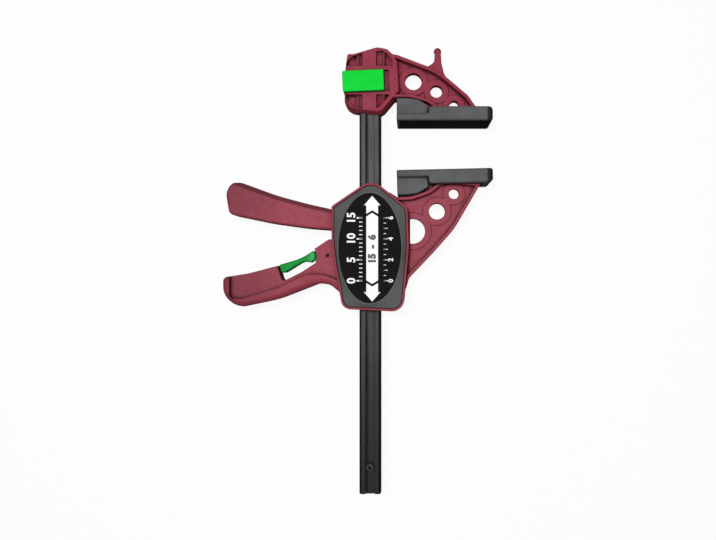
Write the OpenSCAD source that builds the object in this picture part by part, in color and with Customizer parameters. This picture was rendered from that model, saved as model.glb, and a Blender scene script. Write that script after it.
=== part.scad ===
// One-handed quick release bar clamp, lying on its rear cover.
// X runs from the handles to the jaw tips, Y along the bar towards the fixed jaw, Z up from the bench.
// Origin: on the bar's centreline, on the flat face of the rear cover.

/* [Bar] */
// Width of the steel bar
bar_w = 16; // [14:0.5:18]
// Thickness of the steel bar
bar_t = 8; // [7:0.5:9]
// Length of the steel bar
bar_l = 319; // [300:1:500]
// Width of the groove rolled into each wide face of the bar
groove_w = 6.6; // [4:0.2:7]
// Depth of each groove
groove_d = 1.6; // [0.6:0.1:2]
// Chamfer along the long edges of the bar
bar_chamfer = 1.2; // [0.5:0.1:1.4]
// Diameter of the hollow stop pin at the lower end
stop_pin_d = 5; // [4:0.5:6]
// Distance from the lower end of the bar to the stop pin
stop_pin_up = 20.6; // [12:0.2:40]
// How far the stop pin stands out of each face of the bar
stop_pin_proud = 3; // [2:0.5:4.5]

/* [Jaws] */
// Gap between the pads at their bar end, as modelled
jaw_opening = 35.5; // [20:0.5:80]
// Reach of both jaws, from the edge of the bar to the pad tips
throat = 81; // [72:1:90]
// Angle by which the moving pad leans towards the fixed one, in degrees
toe_in = 1.3; // [0:0.1:2]
// Width of both jaw pads
pad_w = 34; // [30:1:34]
// Thickness of a pad along its outer part
pad_t = 10.2; // [9.2:0.1:11.2]
// Rubber between the jaw shoe and the clamping face
pad_face_t = 3; // [2:0.2:3.6]
// Thickness of the jaw arm's outer flange, across the clamp
flange_t = 18; // [15:1:20]
// Width of the flange round the arms
flange_w = 2.6; // [2:0.2:3.4]
// Thickness of the thin web of the arms
web_t = 5; // [4:0.5:6]
// Thickness of the bosses round the lightening holes
boss_t = 6.5; // [6:0.5:9]
// Width of the boss round a lightening hole
boss_w = 4.6; // [3.5:0.2:5]

/* [Body] */
// Thickness of the red housing, without its rim
housing_t = 27; // [26:0.5:28]
// Wall between the mechanism and each cover
side_wall = 2.7; // [2:0.1:3]
// Outer wall of the housing
outer_wall = 3.4; // [2.6:0.2:4]
// Thickness of each rib across the housing
rib_t = 3.5; // [2.5:0.1:4]
// Width of the rim round each cover
rim_w = 1.8; // [1.2:0.1:2.4]
// Height of the rim above the housing
rim_h = 2; // [1:0.1:2.4]
// Height of each cover above the housing
cover_t = 3.5; // [3:0.1:4.5]
// Diameter of the snap pegs on the covers
peg_d = 4; // [3:0.2:4.6]
// Thickness of the oval labels
label_t = 0.4; // [0.2:0.1:0.6]
// Length of the oval labels
label_l = 79; // [70:1:82]
// Width of the oval labels
label_w = 45; // [36:1:45]

/* [Handles] */
// Reach of both handles, from the edge of the bar
handle_reach = 98.5; // [88:0.1:112]
// Thickness of the fixed handle's flange
handle_t = 27; // [24:0.5:30]
// Thickness of the fixed handle between its sunk panels
handle_web_t = 14; // [13:0.5:16]
// Wall of the hollow trigger and of the hollow handle
shell_t = 2.6; // [2:0.1:3.2]
// Swing of the trigger, in degrees
trigger_swing = 13; // [10:0.5:13.5]

/* [Drive] */
// Diameter of the trigger's pivot studs
pivot_d = 6; // [5:0.2:7]
// Diameter of the steel pin in the trigger's nose
nose_d = 6; // [5:0.2:6.6]
// Thickness of one drive plate
drive_plate_t = 2.5; // [2:0.1:2.8]
// Wire of the drive spring
drive_wire = 1.4; // [1:0.1:1.5]

/* [Brake] */
// Thickness of the brake plate
brake_plate_t = 3.2; // [2.8:0.1:3.6]
// Tilt of the brake plate at rest, in degrees
brake_tilt = 6.5; // [5:0.1:6.5]
// Diameter of the pin that the brake plate tilts on
fulcrum_d = 4; // [3.6:0.2:4.4]
// Diameter of the release lever's pin
lever_pin_d = 2.5; // [2:0.1:3.2]
// Width of the release lever's finger pad
lever_pad_w = 12; // [10:0.5:13]
// Width of the release lever inside the handle
lever_hub_w = 8; // [7:0.5:8.5]
// Outside diameter of the brake spring
brake_spring_d = 5; // [4:0.2:5.6]

/* [Head] */
// Wall of the head in front of and behind the bar
head_wall = 5; // [4.8:0.1:6]
// Depth of the track for the lock button in each face of the head
track_d = 2.5; // [1.6:0.1:2.6]
// Height of the lock button, along the bar
button_h = 15; // [12:0.5:16]
// How far each arm of the lock button stands out of the head
button_proud = 3; // [2:0.2:3.8]
// Travel of the lock button
button_travel = 2.6; // [2.5:0.1:3]
// Lean of the lock button across the head, in degrees
button_lean = 2.3; // [0:0.1:3]
// Diameter of the lock pin
lock_pin_d = 2.4; // [2:0.1:2.6]

/* [Fits] */
// Gap between the bar and each face of a guide that it slides in
slide_gap = 0.25; // [0.15:0.05:0.4]
// Gap round a shaft that turns in its bore
turn_gap = 0.05; // [0.03:0.01:0.1]
// Gap between parts that move past each other
run_gap = 0.4; // [0.3:0.05:0.5]
// Gap round parts that are only placed in a seat
seat_gap = 0.15; // [0.1:0.05:0.25]

/* [Hidden] */
$fn = 48;

moulded_red = "#7c2b38";
rubber_grey = "#4b4c4d";
cover_grey = "#545655";
label_black = "#151515";
signal_green = "#13d94a";
lever_green = "#1d9a3b";
steel = "#8d9094";
bar_black = "#2f3032";

eps = 0.01;
big = 400;
arc_steps = 8;

// ---- Stations in the plane of the clamp ----
edge = bar_w / 2;
stack_t = max(housing_t + 2 * cover_t, pad_w);
mid_z = stack_t / 2;
// Distances that the outlines of the jaws and handles are drawn for
drawn_throat = 81;
drawn_reach = 98.5;
root_reach = 19;

// X of a point that lies d to the right or to the left of the bar
function right(d) = edge + d;
function left(d) = -edge - d;
// X of a point on the jaws, drawn d from the bar
function jaw_x(d) = edge + d * throat / drawn_throat;
// X of a point on the handles, drawn d from the bar
function grip_x(d) = -edge - root_reach
    - (d - root_reach) * (handle_reach - root_reach) / (drawn_reach - root_reach);

pad_start = 11.6;
hood_end = 34.3;
moving_face_y = 55.15;
fixed_face_y = moving_face_y + (edge + pad_start) * tan(toe_in) + jaw_opening;
bar_top_y = fixed_face_y + 46.7;
bar_low_y = bar_top_y - bar_l;
shoe_t = 4;
shoe_back = pad_face_t + shoe_t;
plate_part_t = 5.2;
hood_z = 11;

pivot = [0, 22];
nose = [left(1.5 + nose_d / 2), 19.5];
fulcrum = [left(2 + fulcrum_d / 2), -6.3];
lever_pivot = [left(23), -5.7];
cavity_z = housing_t / 2 - side_wall;
cheek_in = bar_t / 2 + run_gap + 0.2;
trigger_z = cavity_z - run_gap;
drive_top = nose[1] - nose_d / 2 - 0.3;
shelf_top = -1;
brake_floor = -25.5;
plate_z = cavity_z - 1.2;

// ---- Outline helpers ----
function unit(v) = v / norm(v);
function xy(p) = [p[0], p[1]];
// Points of the arc that rounds corner b, between neighbours a and c, with radius r
function corner(a, b, c, r) =
    let (u = unit(a - b), v = unit(c - b), half = acos(max(-1, min(1, u * v))) / 2)
    r <= 0 || half > 89.5 ? [b] :
    let (reach = min(r / tan(half), 0.49 * norm(a - b), 0.49 * norm(c - b)),
        r1 = reach * tan(half),
        centre = b + unit(u + v) * r1 / sin(half),
        from = b + u * reach - centre,
        to = b + v * reach - centre,
        a0 = atan2(from[1], from[0]),
        turn = atan2(to[1], to[0]) - a0,
        sweep = turn > 180 ? turn - 360 : turn < -180 ? turn + 360 : turn)
    [for (i = [0 : arc_steps]) centre + r1 * [cos(a0 + sweep * i / arc_steps), sin(a0 + sweep * i / arc_steps)]];
// Outline of a polygon whose corners are [x, y, radius]
function rounded(p) = [for (i = [0 : len(p) - 1])
    each corner(xy(p[(i + len(p) - 1) % len(p)]), xy(p[i]), xy(p[(i + 1) % len(p)]), p[i][2])];
// The same corners moved d inwards, for corners listed anticlockwise
function inset(p, d) = [for (i = [0 : len(p) - 1])
    let (a = xy(p[(i + len(p) - 1) % len(p)]), b = xy(p[i]), c = xy(p[(i + 1) % len(p)]),
        u = unit(b - a), v = unit(c - b), n = [-u[1], u[0]], m = [-v[1], v[0]],
        q = b + d * (n + m) / (1 + n * m))
    [q[0], q[1], max(p[i][2] - d, 0.5)]];

module slab(points, t) {
    translate([0, 0, -t / 2]) linear_extrude(t) polygon(points);
}
module block(low, high, t) {
    translate([low[0], low[1], -t / 2]) cube([high[0] - low[0], high[1] - low[1], t]);
}
module rod(at, d, t) {
    translate([at[0], at[1], -t / 2]) cylinder(d = d, h = t);
}
module lift() {
    translate([0, 0, mid_z]) children();
}
module both_sides() {
    children();
    mirror([0, 0, 1]) children();
}
module at_head() {
    translate([0, fixed_face_y, mid_z]) children();
}
// Local frame of the moving pad: its clamping face is y = 0 and the jaw lies on +y
module at_moving_pad() {
    translate([0, moving_face_y, mid_z]) rotate(toe_in) mirror([0, 1, 0]) children();
}

// ---- Coil springs ----
// Height of a coil with closed ends, t turns up from its seat
function coil_rise(t, turns, wire, length) =
    let (body = length - wire - 2 * wire * 0.9)
    t < 1 ? t * wire * 0.9
    : t > turns - 1 ? length - wire - (turns - t) * wire * 0.9
    : wire * 0.9 + (t - 1) / (turns - 2) * body;
// A compression spring that stands on z = 0, round the z axis
module coil(outer_d, wire, length, turns, per_turn = 20, sides = 6) {
    steps = turns * per_turn;
    r = (outer_d - wire) / 2;
    rings = [for (i = [0 : steps])
        let (t = i / per_turn, a = 360 * t, h = wire / 2 + coil_rise(t, turns, wire, length))
        for (j = [0 : sides - 1])
            let (b = 360 * j / sides, rr = r + wire / 2 * cos(b))
            [rr * cos(a), rr * sin(a), h + wire / 2 * sin(b)]];
    walls = [for (i = [0 : steps - 1]) for (j = [0 : sides - 1])
        let (k = (j + 1) % sides)
        each [[i * sides + j, (i + 1) * sides + k, (i + 1) * sides + j],
              [i * sides + j, i * sides + k, (i + 1) * sides + k]]];
    ends = [for (j = [1 : sides - 2]) each [[0, j + 1, j],
        [steps * sides, steps * sides + j, steps * sides + j + 1]]];
    polyhedron(rings, concat(walls, ends));
}

// ---- Bar ----
module bar() {
    c = bar_chamfer;
    w = bar_w / 2;
    t = bar_t / 2;
    section = [[-w, -t + c], [-w + c, -t], [w - c, -t], [w, -t + c], [w, t - c], [w - c, t], [-w + c, t],
        [-w, t - c]];
    face = [[-w, bar_low_y, 1.5], [w, bar_low_y, 1.5], [w, bar_top_y, 1], [-w, bar_top_y, 1]];
    color(bar_black) lift() difference() {
        intersection() {
            translate([0, bar_low_y, 0]) rotate([-90, 0, 0]) linear_extrude(bar_l) polygon(section);
            slab(rounded(face), bar_t + 2);
        }
        both_sides() translate([-groove_w / 2, bar_low_y - 1, bar_t / 2 - groove_d])
            cube([groove_w, bar_l + 2, groove_d + 1]);
        rod([0, bar_low_y + stop_pin_up], stop_pin_d, bar_t + 2);
        at_lock() rod([0, 0], lock_pin_d + 2 * seat_gap, bar_t + 2);
        at_lock() block([0, -lock_pin_d / 2 - seat_gap], [edge, lock_pin_d / 2 + seat_gap], bar_t + 2);
    }
}
module stop_pin() {
    color(steel) lift() difference() {
        rod([0, bar_low_y + stop_pin_up], stop_pin_d, bar_t + 2 * stop_pin_proud);
        rod([0, bar_low_y + stop_pin_up], stop_pin_d - 2.4, bar_t + 2 * stop_pin_proud + 2);
        block([-0.4, bar_low_y + stop_pin_up - stop_pin_d], [0.4, bar_low_y + stop_pin_up],
            bar_t + 2 * stop_pin_proud + 2);
    }
}

// ---- Jaw pads, shared by both jaws ----
pad_end = 81;
// Outline of the block between the pad and the arm
hood = [[jaw_x(pad_start), plate_part_t - 1, 0], [jaw_x(hood_end), plate_part_t - 1, 0],
    [jaw_x(hood_end), 12.2, 2.5], [jaw_x(27), 16.4, 6], [jaw_x(19), 17.4, 6], [jaw_x(pad_start), 17.4, 0.6]];
wide_shoe = 38;
shoe_end = 76.5;
module shoe(gap) {
    back = shoe_back + gap;
    block([jaw_x(pad_start + 2) - gap, pad_face_t - gap], [jaw_x(wide_shoe), back], flange_t + 2 * gap);
    block([jaw_x(wide_shoe) - 1, pad_face_t - gap], [jaw_x(shoe_end) + gap, back], pad_w - 8 + 2 * gap);
}
// Thin wall that joins the shoe to the arm, inside the slot of the pad
module shoe_wall() {
    slab([[jaw_x(pad_start + 2), shoe_back - 1], [jaw_x(wide_shoe), shoe_back - 1], [jaw_x(wide_shoe), 12],
        [jaw_x(30), 18.6], [jaw_x(pad_start + 2), 18.6]], web_t);
}
module pad() {
    tip = jaw_x(pad_end);
    color(rubber_grey) difference() {
        union() {
            slab(rounded([[jaw_x(pad_start), 0, 0.8], [tip, 0, 2.2], [tip, plate_part_t, 0.5],
                [jaw_x(pad_start), plate_part_t, 0.5]]), pad_w);
            slab(rounded([[jaw_x(hood_end + 0.4), 0.5, 0], [tip, 0.5, 2], [tip, pad_t, 3.4],
                [jaw_x(hood_end + 0.4), pad_t, 2.2]]), pad_w);
            slab(rounded(hood), 2 * hood_z);
        }
        shoe(seat_gap);
        block([jaw_x(pad_start + 2) - seat_gap, shoe_back], [jaw_x(hood_end + 6), 30], web_t + 2 * seat_gap);
        block([jaw_x(hood_end + 4), shoe_back - 1], [jaw_x(74), 30], flange_t + 2 * seat_gap);
    }
}
module fixed_jaw_pad() {
    at_head() pad();
}
module moving_jaw_pad() {
    at_moving_pad() pad();
}
// The arm that a jaw stands on: flange, web, bosses and lightening holes
module arm(outline, holes) {
    difference() {
        union() {
            slab(rounded(outline), web_t);
            difference() {
                slab(rounded(outline), flange_t);
                slab(rounded(inset(outline, flange_w)), flange_t + 2);
            }
            intersection() {
                slab(rounded(outline), boss_t);
                for (h = holes) rod(h, 2 * (h[2] + boss_w), boss_t);
            }
        }
        for (h = holes) rod(h, 2 * h[2], flange_t + 2);
    }
}

// ---- Head ----
head_t = bar_t + 2 * head_wall;
head_face = head_t / 2;
track_z = head_face - track_d;
head_outline = [[left(8.3), 50, 1.2], [left(10.6), 36, 30], [left(10.9), 9, 9.5], [right(0.6), 5.7, 8],
    [right(13.8), 21.6, 5], [right(12), 45, 4], [right(8.4), 50, 4], [right(4.6), 53.6, 4],
    [right(-2.6), 55, 8],
    [left(4.2), 49.9, 3]];
head_arm = [[right(4), 18.2, 0], [jaw_x(21), 18.2, 14], [jaw_x(34.5), 14.6, 14], [jaw_x(44), 6.6, 0],
    [jaw_x(72.6), 6.6, 0], [jaw_x(63.7), 19.7, 18], [jaw_x(42), 38, 50], [jaw_x(12), 49.3, 5],
    [right(4), 50.6, 0]];
head_holes = [[jaw_x(23.7), 31.2, 6.1], [jaw_x(40.6), 23.9, 4.4], [jaw_x(53.6), 13.5, 3.4]];
horn = [[jaw_x(33), 36, 0], [jaw_x(49), 27, 0], [jaw_x(50.3), 30.8, 0], [jaw_x(46.4), 37.4, 6],
    [jaw_x(44.5), 45, 10],
    [jaw_x(43.9), 53.5, 0], [jaw_x(39.4), 53.5, 0], [jaw_x(39.2), 46, 4], [jaw_x(34.2), 42.6, 4],
    [jaw_x(30), 42.2, 0]];
horn_tip = [jaw_x(41.55), 53.9];
horn_t = 5;
horn_ball_d = 5.6;
// Four corner pockets on each face, each split by a rib: shallow over the bar, deep beside it
pocket_outline = [[left(8.9), 41, 0], [left(7.8), 45.1, 2], [left(4.4), 48.2, 3], [right(-13.6), 50.2, 0],
    [right(1.2), 52.2, 3], [right(5.2), 49.5, 2], [right(8.1), 45.4, 3], [right(8.4), 41, 0],
    [right(5.8), 19.4, 1], [right(-1.7), 10.7, 1.5], [right(-14), 10.1, 8], [left(3.2), 11.2, 6],
    [left(7.3), 14.2, 6], [left(9.2), 18.5, 6]];
pocket_rows = [[0, 20.2], [41.4, 60]];
pocket_shallow = bar_t / 2 + 1.9;
pocket_deep = 2.5;
pocket_rib_t = 1.2;
pocket_rib_drop = 1.4;
// X of the inner end, the rib and the outer end of the pockets, left and right of the bar
pocket_cols = [[left(-2.4), left(0.8), left(8.3)], [right(-3.2), right(2.1), right(8.5)]];

// Frame of the head lock: origin on the lock pin, x along the button's travel
lock_pin_y = 30.3;
lock_pin_in = 1;
module at_lock() {
    translate([edge - lock_pin_in, fixed_face_y + lock_pin_y, 0]) rotate(button_lean) children();
}
arm_end = 3.3;
track_end = arm_end + button_travel + 1;
web_out = -(bar_w + 10.8);
web_thick = 3;
notch_floor = web_out + web_thick + button_travel + 0.8;
spring_seat = 2.4;
button_z = head_face + button_proud;

// The pockets of the front face
module pockets() {
    intersection() {
        linear_extrude(head_t) polygon(rounded(pocket_outline));
        for (c = pocket_cols, r = pocket_rows) difference() {
            union() {
                bay(c[0], c[1], r, pocket_shallow);
                bay(c[1], c[2], r, pocket_deep);
            }
            translate([c[1] - pocket_rib_t / 2, r[0], 0])
                cube([pocket_rib_t, r[1] - r[0], head_face - pocket_rib_drop]);
        }
    }
}
module bay(from, to, row, floor_z) {
    translate([min(from, to), row[0], floor_z]) cube([abs(to - from), row[1] - row[0], head_t]);
}
module head_moulding() {
    color(moulded_red) difference() {
        union() {
            at_head() slab(rounded(head_outline), head_t);
            at_head() arm(head_arm, head_holes);
            at_head() shoe(0);
            at_head() shoe_wall();
            at_head() slab(rounded(horn), horn_t);
            at_head() translate([horn_tip[0], horn_tip[1], 0]) sphere(d = horn_ball_d, $fn = 32);
        }
        at_head() block([-edge - seat_gap, 0], [edge + seat_gap, 46.7 + seat_gap], bar_t + 2 * seat_gap);
        at_head() both_sides() pockets();
        lift() at_lock() {
            both_sides() translate([web_out - 5, -button_h / 2 - seat_gap, track_z])
                cube([track_end - web_out + 5, button_h + 2 * seat_gap, head_t]);
            block([web_out - 5, -button_h / 2 - seat_gap], [notch_floor, button_h / 2 + seat_gap], head_t + 2);
            block([0, -lock_pin_d / 2 - seat_gap], [button_travel, lock_pin_d / 2 + seat_gap], head_t + 2);
            rod([0, 0], lock_pin_d + 2 * seat_gap, head_t + 2);
            rod([button_travel, 0], lock_pin_d + 2 * seat_gap, head_t + 2);
            translate([notch_floor - 1, 0, 0]) rotate([0, 90, 0]) cylinder(d = 5.6, h = 1 + spring_seat);
        }
    }
}
module head_lock_button() {
    color(signal_green) lift() at_lock() difference() {
        slab(rounded([[web_out, -button_h / 2, 1], [arm_end, -button_h / 2, 0.6], [arm_end, button_h / 2, 0.6],
            [web_out, button_h / 2, 1]]), 2 * button_z);
        block([web_out + web_thick, -button_h], [arm_end + 1, button_h], 2 * (track_z + seat_gap));
        rod([0, 0], lock_pin_d, 2 * (button_z - 1.6));
    }
}
module head_lock_pin() {
    color(steel) lift() at_lock() rod([0, 0], lock_pin_d, 2 * (button_z - 1.6 - seat_gap));
}
module head_lock_spring() {
    length = notch_floor + spring_seat - web_out - web_thick;
    color(steel) lift() at_lock() translate([web_out + web_thick, 0, 0]) rotate([0, 90, 0])
        coil(4.8, 0.6, length, 5, 16);
}

// ---- Housing ----
housing_outline = [[left(19.3), 29.6, 2], [left(19.2), 5, 1], [left(17), -14, 30], [left(11.3), -44.4, 7],
    [right(16.5), -46.5, 9], [right(20.6), 0, 60], [right(19.7), 28.4, 7], [1.8, 49.4, 12]];
// The mouth clears the trigger's lower edge at full swing
mouth_in = left(24);
mouth_low = pivot[1] + mouth_in * sin(trigger_swing) - (pivot[1] - 13.3) * cos(trigger_swing) - 0.1;
mouth_high = 28.9;
handle_outline = [[left(14), mouth_low - 0.1, 0], [left(14), -30, 0], [left(11), -38, 0],
    [left(13.6), -32.9, 8],
    [left(20.5), -26.9, 10], [left(29), -26, 12], [grip_x(60), -38.1, 80], [grip_x(87.4), -43.85, 14.6],
    [grip_x(98.5), -34.85, 14.6], [grip_x(98.5), -21.6, 3.5], [grip_x(80), -18.6, 80],
    [grip_x(59.2), -13.1, 0.6],
    [grip_x(31.7), -0.3, 0.6], [grip_x(22.2), mouth_low - 0.1, 2]];
// The sunk panel stops short of the handle's lower edge and end, and runs out over its upper edge
handle_panel = [[grip_x(93.3), -10, 0], [grip_x(93.3), -36.7, 3], [grip_x(84), -36.9, 10],
    [grip_x(57.7), -28.9, 40],
    [grip_x(38.5), -19.5, 18], [grip_x(25.5), -19.4, 20], [left(13), -24.6, 0], [left(13), 12, 0],
    [grip_x(40), 12, 0]];
// Opening under the release lever, right through the handle
lever_opening = [[grip_x(60.4), -10, 0], [grip_x(59.5), -13.6, 0.6], [grip_x(55.9), -24.7, 2.2],
    [grip_x(42.3), -17.9, 40], [grip_x(32), -11.3, 3], [grip_x(30.8), -8.3, 2], [grip_x(30.8), -5.5, 2],
    [grip_x(32.5), -1.2, 0], [grip_x(33), 1.5, 0]];
moving_arm = [[right(6), -30, 0], [right(18.4), -30, 0], [jaw_x(20.6), -22.3, 7], [jaw_x(38), -4, 50],
    [jaw_x(53.3), 13.3, 50], [jaw_x(73), 47, 0], [jaw_x(50), 49.9, 0], [jaw_x(43.8), 48.9, 0],
    [jaw_x(34.5), 41.7, 14],
    [jaw_x(22), 37.5, 14], [right(12), 36.9, 0], [right(6), 40.5, 0]];
moving_holes = [[jaw_x(41.1), 26.8, 5.9], [jaw_x(53.5), 39.7, 3.7]];
round_hole = [jaw_x(23.1), 12.3, 9.2];
hole_wall = right(21.4);
bar_hole_w = bar_w + 2 * slide_gap;
bar_hole_t = bar_t + 2 * slide_gap;
rib_tops = [brake_floor, shelf_top, 31 + rib_t];
pegs = [[right(14), 20], [right(11.5), -34], [left(7.5), -36], [left(4), 34.5]];
peg_l = 7;

module release_slot() {
    w = lever_hub_w + 2 * run_gap;
    rod(lever_pivot, 13, w);
    block([grip_x(36), -12.2], [lever_pivot[0], -0.6], w);
    block([left(25.5), -18.2], [left(10), -2.8], w);
}
module body_housing() {
    hollow = inset(housing_outline, outer_wall);
    color(moulded_red) difference() {
        union() {
            lift() difference() {
                slab(rounded(housing_outline), housing_t + 2 * rim_h);
                both_sides() translate([0, 0, housing_t / 2]) linear_extrude(rim_h + 1)
                    polygon(rounded(inset(housing_outline, rim_w)));
            }
            lift() difference() {
                slab(rounded(handle_outline), handle_t);
                both_sides() translate([0, 0, handle_web_t / 2]) linear_extrude(handle_t)
                    polygon(rounded(handle_panel));
            }
            lift() arm(moving_arm, moving_holes);
            lift() intersection() {
                rod(round_hole, 2 * (round_hole[2] + boss_w), boss_t);
                slab(rounded(moving_arm), boss_t);
            }
            at_moving_pad() shoe(0);
            at_moving_pad() shoe_wall();
        }
        lift() {
            // Mechanism space, with the ribs left standing in it
            difference() {
                slab(rounded(hollow), 2 * cavity_z);
                for (y = rib_tops) block([-big, y - rib_t], [big, y], housing_t);
                for (p = pegs) rod(p, peg_d + 4, housing_t);
                translate([right(4.4), brake_floor - eps, 0]) rotate([-90, 0, 0])
                    cylinder(d = brake_spring_d - 2.4, h = 3);
            }
            block([mouth_in, mouth_low], [left(14), mouth_high], 2 * cavity_z);
            // Windows through which the mechanism is fitted, under the covers
            block([left(6), shelf_top + 2], [right(5), pivot[1] - 9], housing_t);
            block([left(8), brake_floor + 2], [right(7), fulcrum[1] - 5], housing_t);
            block([left(4), -40], [right(7), brake_floor - rib_t - 1], housing_t);
            block([-bar_hole_w / 2, -big], [bar_hole_w / 2, big], bar_hole_t);
            rod(pivot, pivot_d, housing_t);
            rod(fulcrum, fulcrum_d, housing_t);
            rod(lever_pivot, lever_pin_d, handle_t);
            for (p = pegs) rod(p, peg_d + 2 * seat_gap, housing_t);
            intersection() {
                rod(round_hole, 2 * round_hole[2], flange_t + 2);
                block([hole_wall, -big], [big, big], flange_t + 2);
            }
            slab(rounded(lever_opening), handle_t + 2);
            release_slot();
            // Hollow of the fixed handle, open towards the trigger
            slab(rounded([[grip_x(89.5), -8, 0], [grip_x(89.5), -33.4, 3], [grip_x(80), -33.6, 4],
                [grip_x(64), -30.6, 3], [grip_x(62), -8, 0]]), handle_web_t - 2 * shell_t);
        }
    }
}
// Covers, drawn for the front and mirrored for the rear
cover_outline = inset(housing_outline, rim_w + seat_gap);
label_centre = [0.5, -0.6];
module oval(l, w, h) {
    translate(label_centre) scale([1, l / w, 1]) cylinder(d = w, h = h, $fn = 72);
}
module cover() {
    base = housing_t / 2;
    color(cover_grey) difference() {
        union() {
            hull() {
                translate([0, 0, base]) linear_extrude(rim_h - 0.4) polygon(rounded(cover_outline));
                translate([0, 0, base + cover_t - 0.1]) oval(label_l + 1.6, label_w + 1.6, 0.1);
            }
            for (p = pegs) translate([p[0], p[1], base - peg_l]) cylinder(d = peg_d, h = peg_l + 1);
        }
        translate([0, 0, base + cover_t - label_t]) oval(label_l, label_w, 1);
    }
}
module label() {
    color(label_black) translate([0, 0, housing_t / 2 + cover_t - label_t])
        oval(label_l - seat_gap, label_w - seat_gap, label_t);
}
module front_cover() {
    lift() cover();
}
module rear_cover() {
    lift() mirror([0, 0, 1]) cover();
}
module front_label() {
    lift() label();
}
module rear_label() {
    lift() mirror([0, 0, 1]) label();
}

// ---- Trigger and drive ----
trigger_outline = [[left(19), 28.2, 20], [grip_x(37), 32.2, 150], [grip_x(60), 38.3, 150],
    [grip_x(89.8), 49.2, 7],
    [grip_x(97), 41.4, 5], [grip_x(94.2), 24.2, 5], [grip_x(64.8), 18.1, 150], [grip_x(37), 14.2, 150],
    [left(19), 12.9, 10], [left(14.7), 12.9, 1.5], [left(14.7), 18, 1.5], [right(-3), 18, 3],
    [right(-1), 22, 5],
    [right(-3), 29, 5], [-6, 29.4, 10]];
module trigger() {
    hollow = [[left(24), 22, 2], [grip_x(50), 28.6, 40], [grip_x(88), 39, 4], [grip_x(91), 36, 4],
        [grip_x(88.5), 8, 0], [left(24), 4, 0]];
    color(moulded_red) lift() difference() {
        union() {
            slab(rounded(trigger_outline), 2 * trigger_z);
            rod(pivot, pivot_d + 2 * turn_gap + 4, 2 * trigger_z);
        }
        difference() {
            slab(rounded(hollow), 2 * (trigger_z - shell_t));
            for (d = [38, 54, 70]) block([grip_x(d) - 1, 0], [grip_x(d) + 1, 60], big);
        }
        block([left(8.5), -big], [big, big], 2 * cheek_in);
        rod(pivot, pivot_d + 2 * turn_gap, big);
        rod(nose, nose_d, big);
    }
}
module trigger_pivot_studs() {
    color(steel) lift() both_sides()
        translate([pivot[0], pivot[1], cheek_in + 0.2])
            cylinder(d = pivot_d, h = housing_t / 2 - cheek_in - 0.2);
}
module trigger_nose_pin() {
    color(steel) lift() rod(nose, nose_d, 2 * trigger_z);
}
module grip_plate(low, high, t, hole) {
    translate([0, t, 0]) rotate([90, 0, 0]) linear_extrude(t) difference() {
        polygon(rounded([[low, -plate_z, 2], [high, -plate_z, 2], [high, plate_z, 2], [low, plate_z, 2]]));
        square([hole, bar_t + 4 * slide_gap], center = true);
    }
}
module drive_plate(y) {
    color(steel) lift() translate([0, y, 0]) grip_plate(left(8), right(6), drive_plate_t, bar_w + 0.5);
}
module drive_plate_upper() {
    drive_plate(drive_top - drive_plate_t);
}
module drive_plate_lower() {
    drive_plate(drive_top - 2 * drive_plate_t);
}
module drive_spring() {
    length = drive_top - 2 * drive_plate_t - shelf_top;
    inner = 2 * norm([bar_w / 2 - bar_chamfer / 2, bar_t / 2 - bar_chamfer / 2]) + 0.8;
    color(steel) lift() translate([0, shelf_top, 0]) rotate([-90, 0, 0])
        coil(inner + 2 * drive_wire, drive_wire, length, 5, 24, 8);
}

// ---- Brake and release ----
// Frame of the brake plate: origin on the fulcrum pin, tilted with the plate
module at_brake() {
    translate([fulcrum[0], fulcrum[1], mid_z]) rotate(brake_tilt) children();
}
plate_under_pin = fulcrum_d / 2 + 0.1;
brake_tail = 9.5;
module brake_plate() {
    hole_at = -fulcrum[0] - 0.2;
    color(steel) at_brake() translate([hole_at, -plate_under_pin - brake_plate_t, 0])
        grip_plate(-hole_at - brake_tail, right(8), brake_plate_t, bar_w + 1);
}
module brake_fulcrum_pin() {
    color(steel) lift() rod(fulcrum, fulcrum_d, housing_t);
}
module brake_spring() {
    reach = right(4.4) - fulcrum[0];
    top = fulcrum[1] + reach * tan(brake_tilt) - (plate_under_pin + brake_plate_t) / cos(brake_tilt);
    length = top - brake_floor - brake_spring_d / 2 * tan(brake_tilt);
    color(steel) lift() translate([right(4.4), brake_floor, 0]) rotate([-90, 0, 0])
        coil(brake_spring_d, 0.7, length, 6, 16);
}
lever_hub = 9.2;
lever_pad = [[grip_x(58.9), -12.6, 1], [grip_x(57.1), -18.5, 1.2], [grip_x(54), -18.2, 1.5],
    [grip_x(43), -11.4, 6],
    [grip_x(40.5), -10.3, 4], [grip_x(35), -10.8, 2], [grip_x(31.6), -7.6, 2], [grip_x(32.4), -3.4, 1.2],
    [grip_x(33.6), -2, 1], [grip_x(40), -6.1, 20], [grip_x(44.7), -8.4, 40]];
lever_arm = [[grip_x(35), -9.6, 0], [left(25), -10.2, 3], [left(18.5), -17, 2], [left(11.2), -16.4, 0.8],
    [left(10.6), -13, 0.8], [left(15.2), -13.2, 1.5], [left(17.6), -2.4, 2], [left(22.3), -1.2, 2],
    [grip_x(35), -4.8, 0]];
module release_lever() {
    color(lever_green) lift() difference() {
        union() {
            slab(rounded(lever_pad), lever_pad_w);
            slab(rounded(lever_arm), lever_hub_w);
            rod(lever_pivot, lever_hub, lever_hub_w);
        }
        rod(lever_pivot, lever_pin_d + 2 * turn_gap, big);
    }
}
module release_lever_pin() {
    color(steel) lift() rod(lever_pivot, lever_pin_d, handle_web_t);
}

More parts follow.
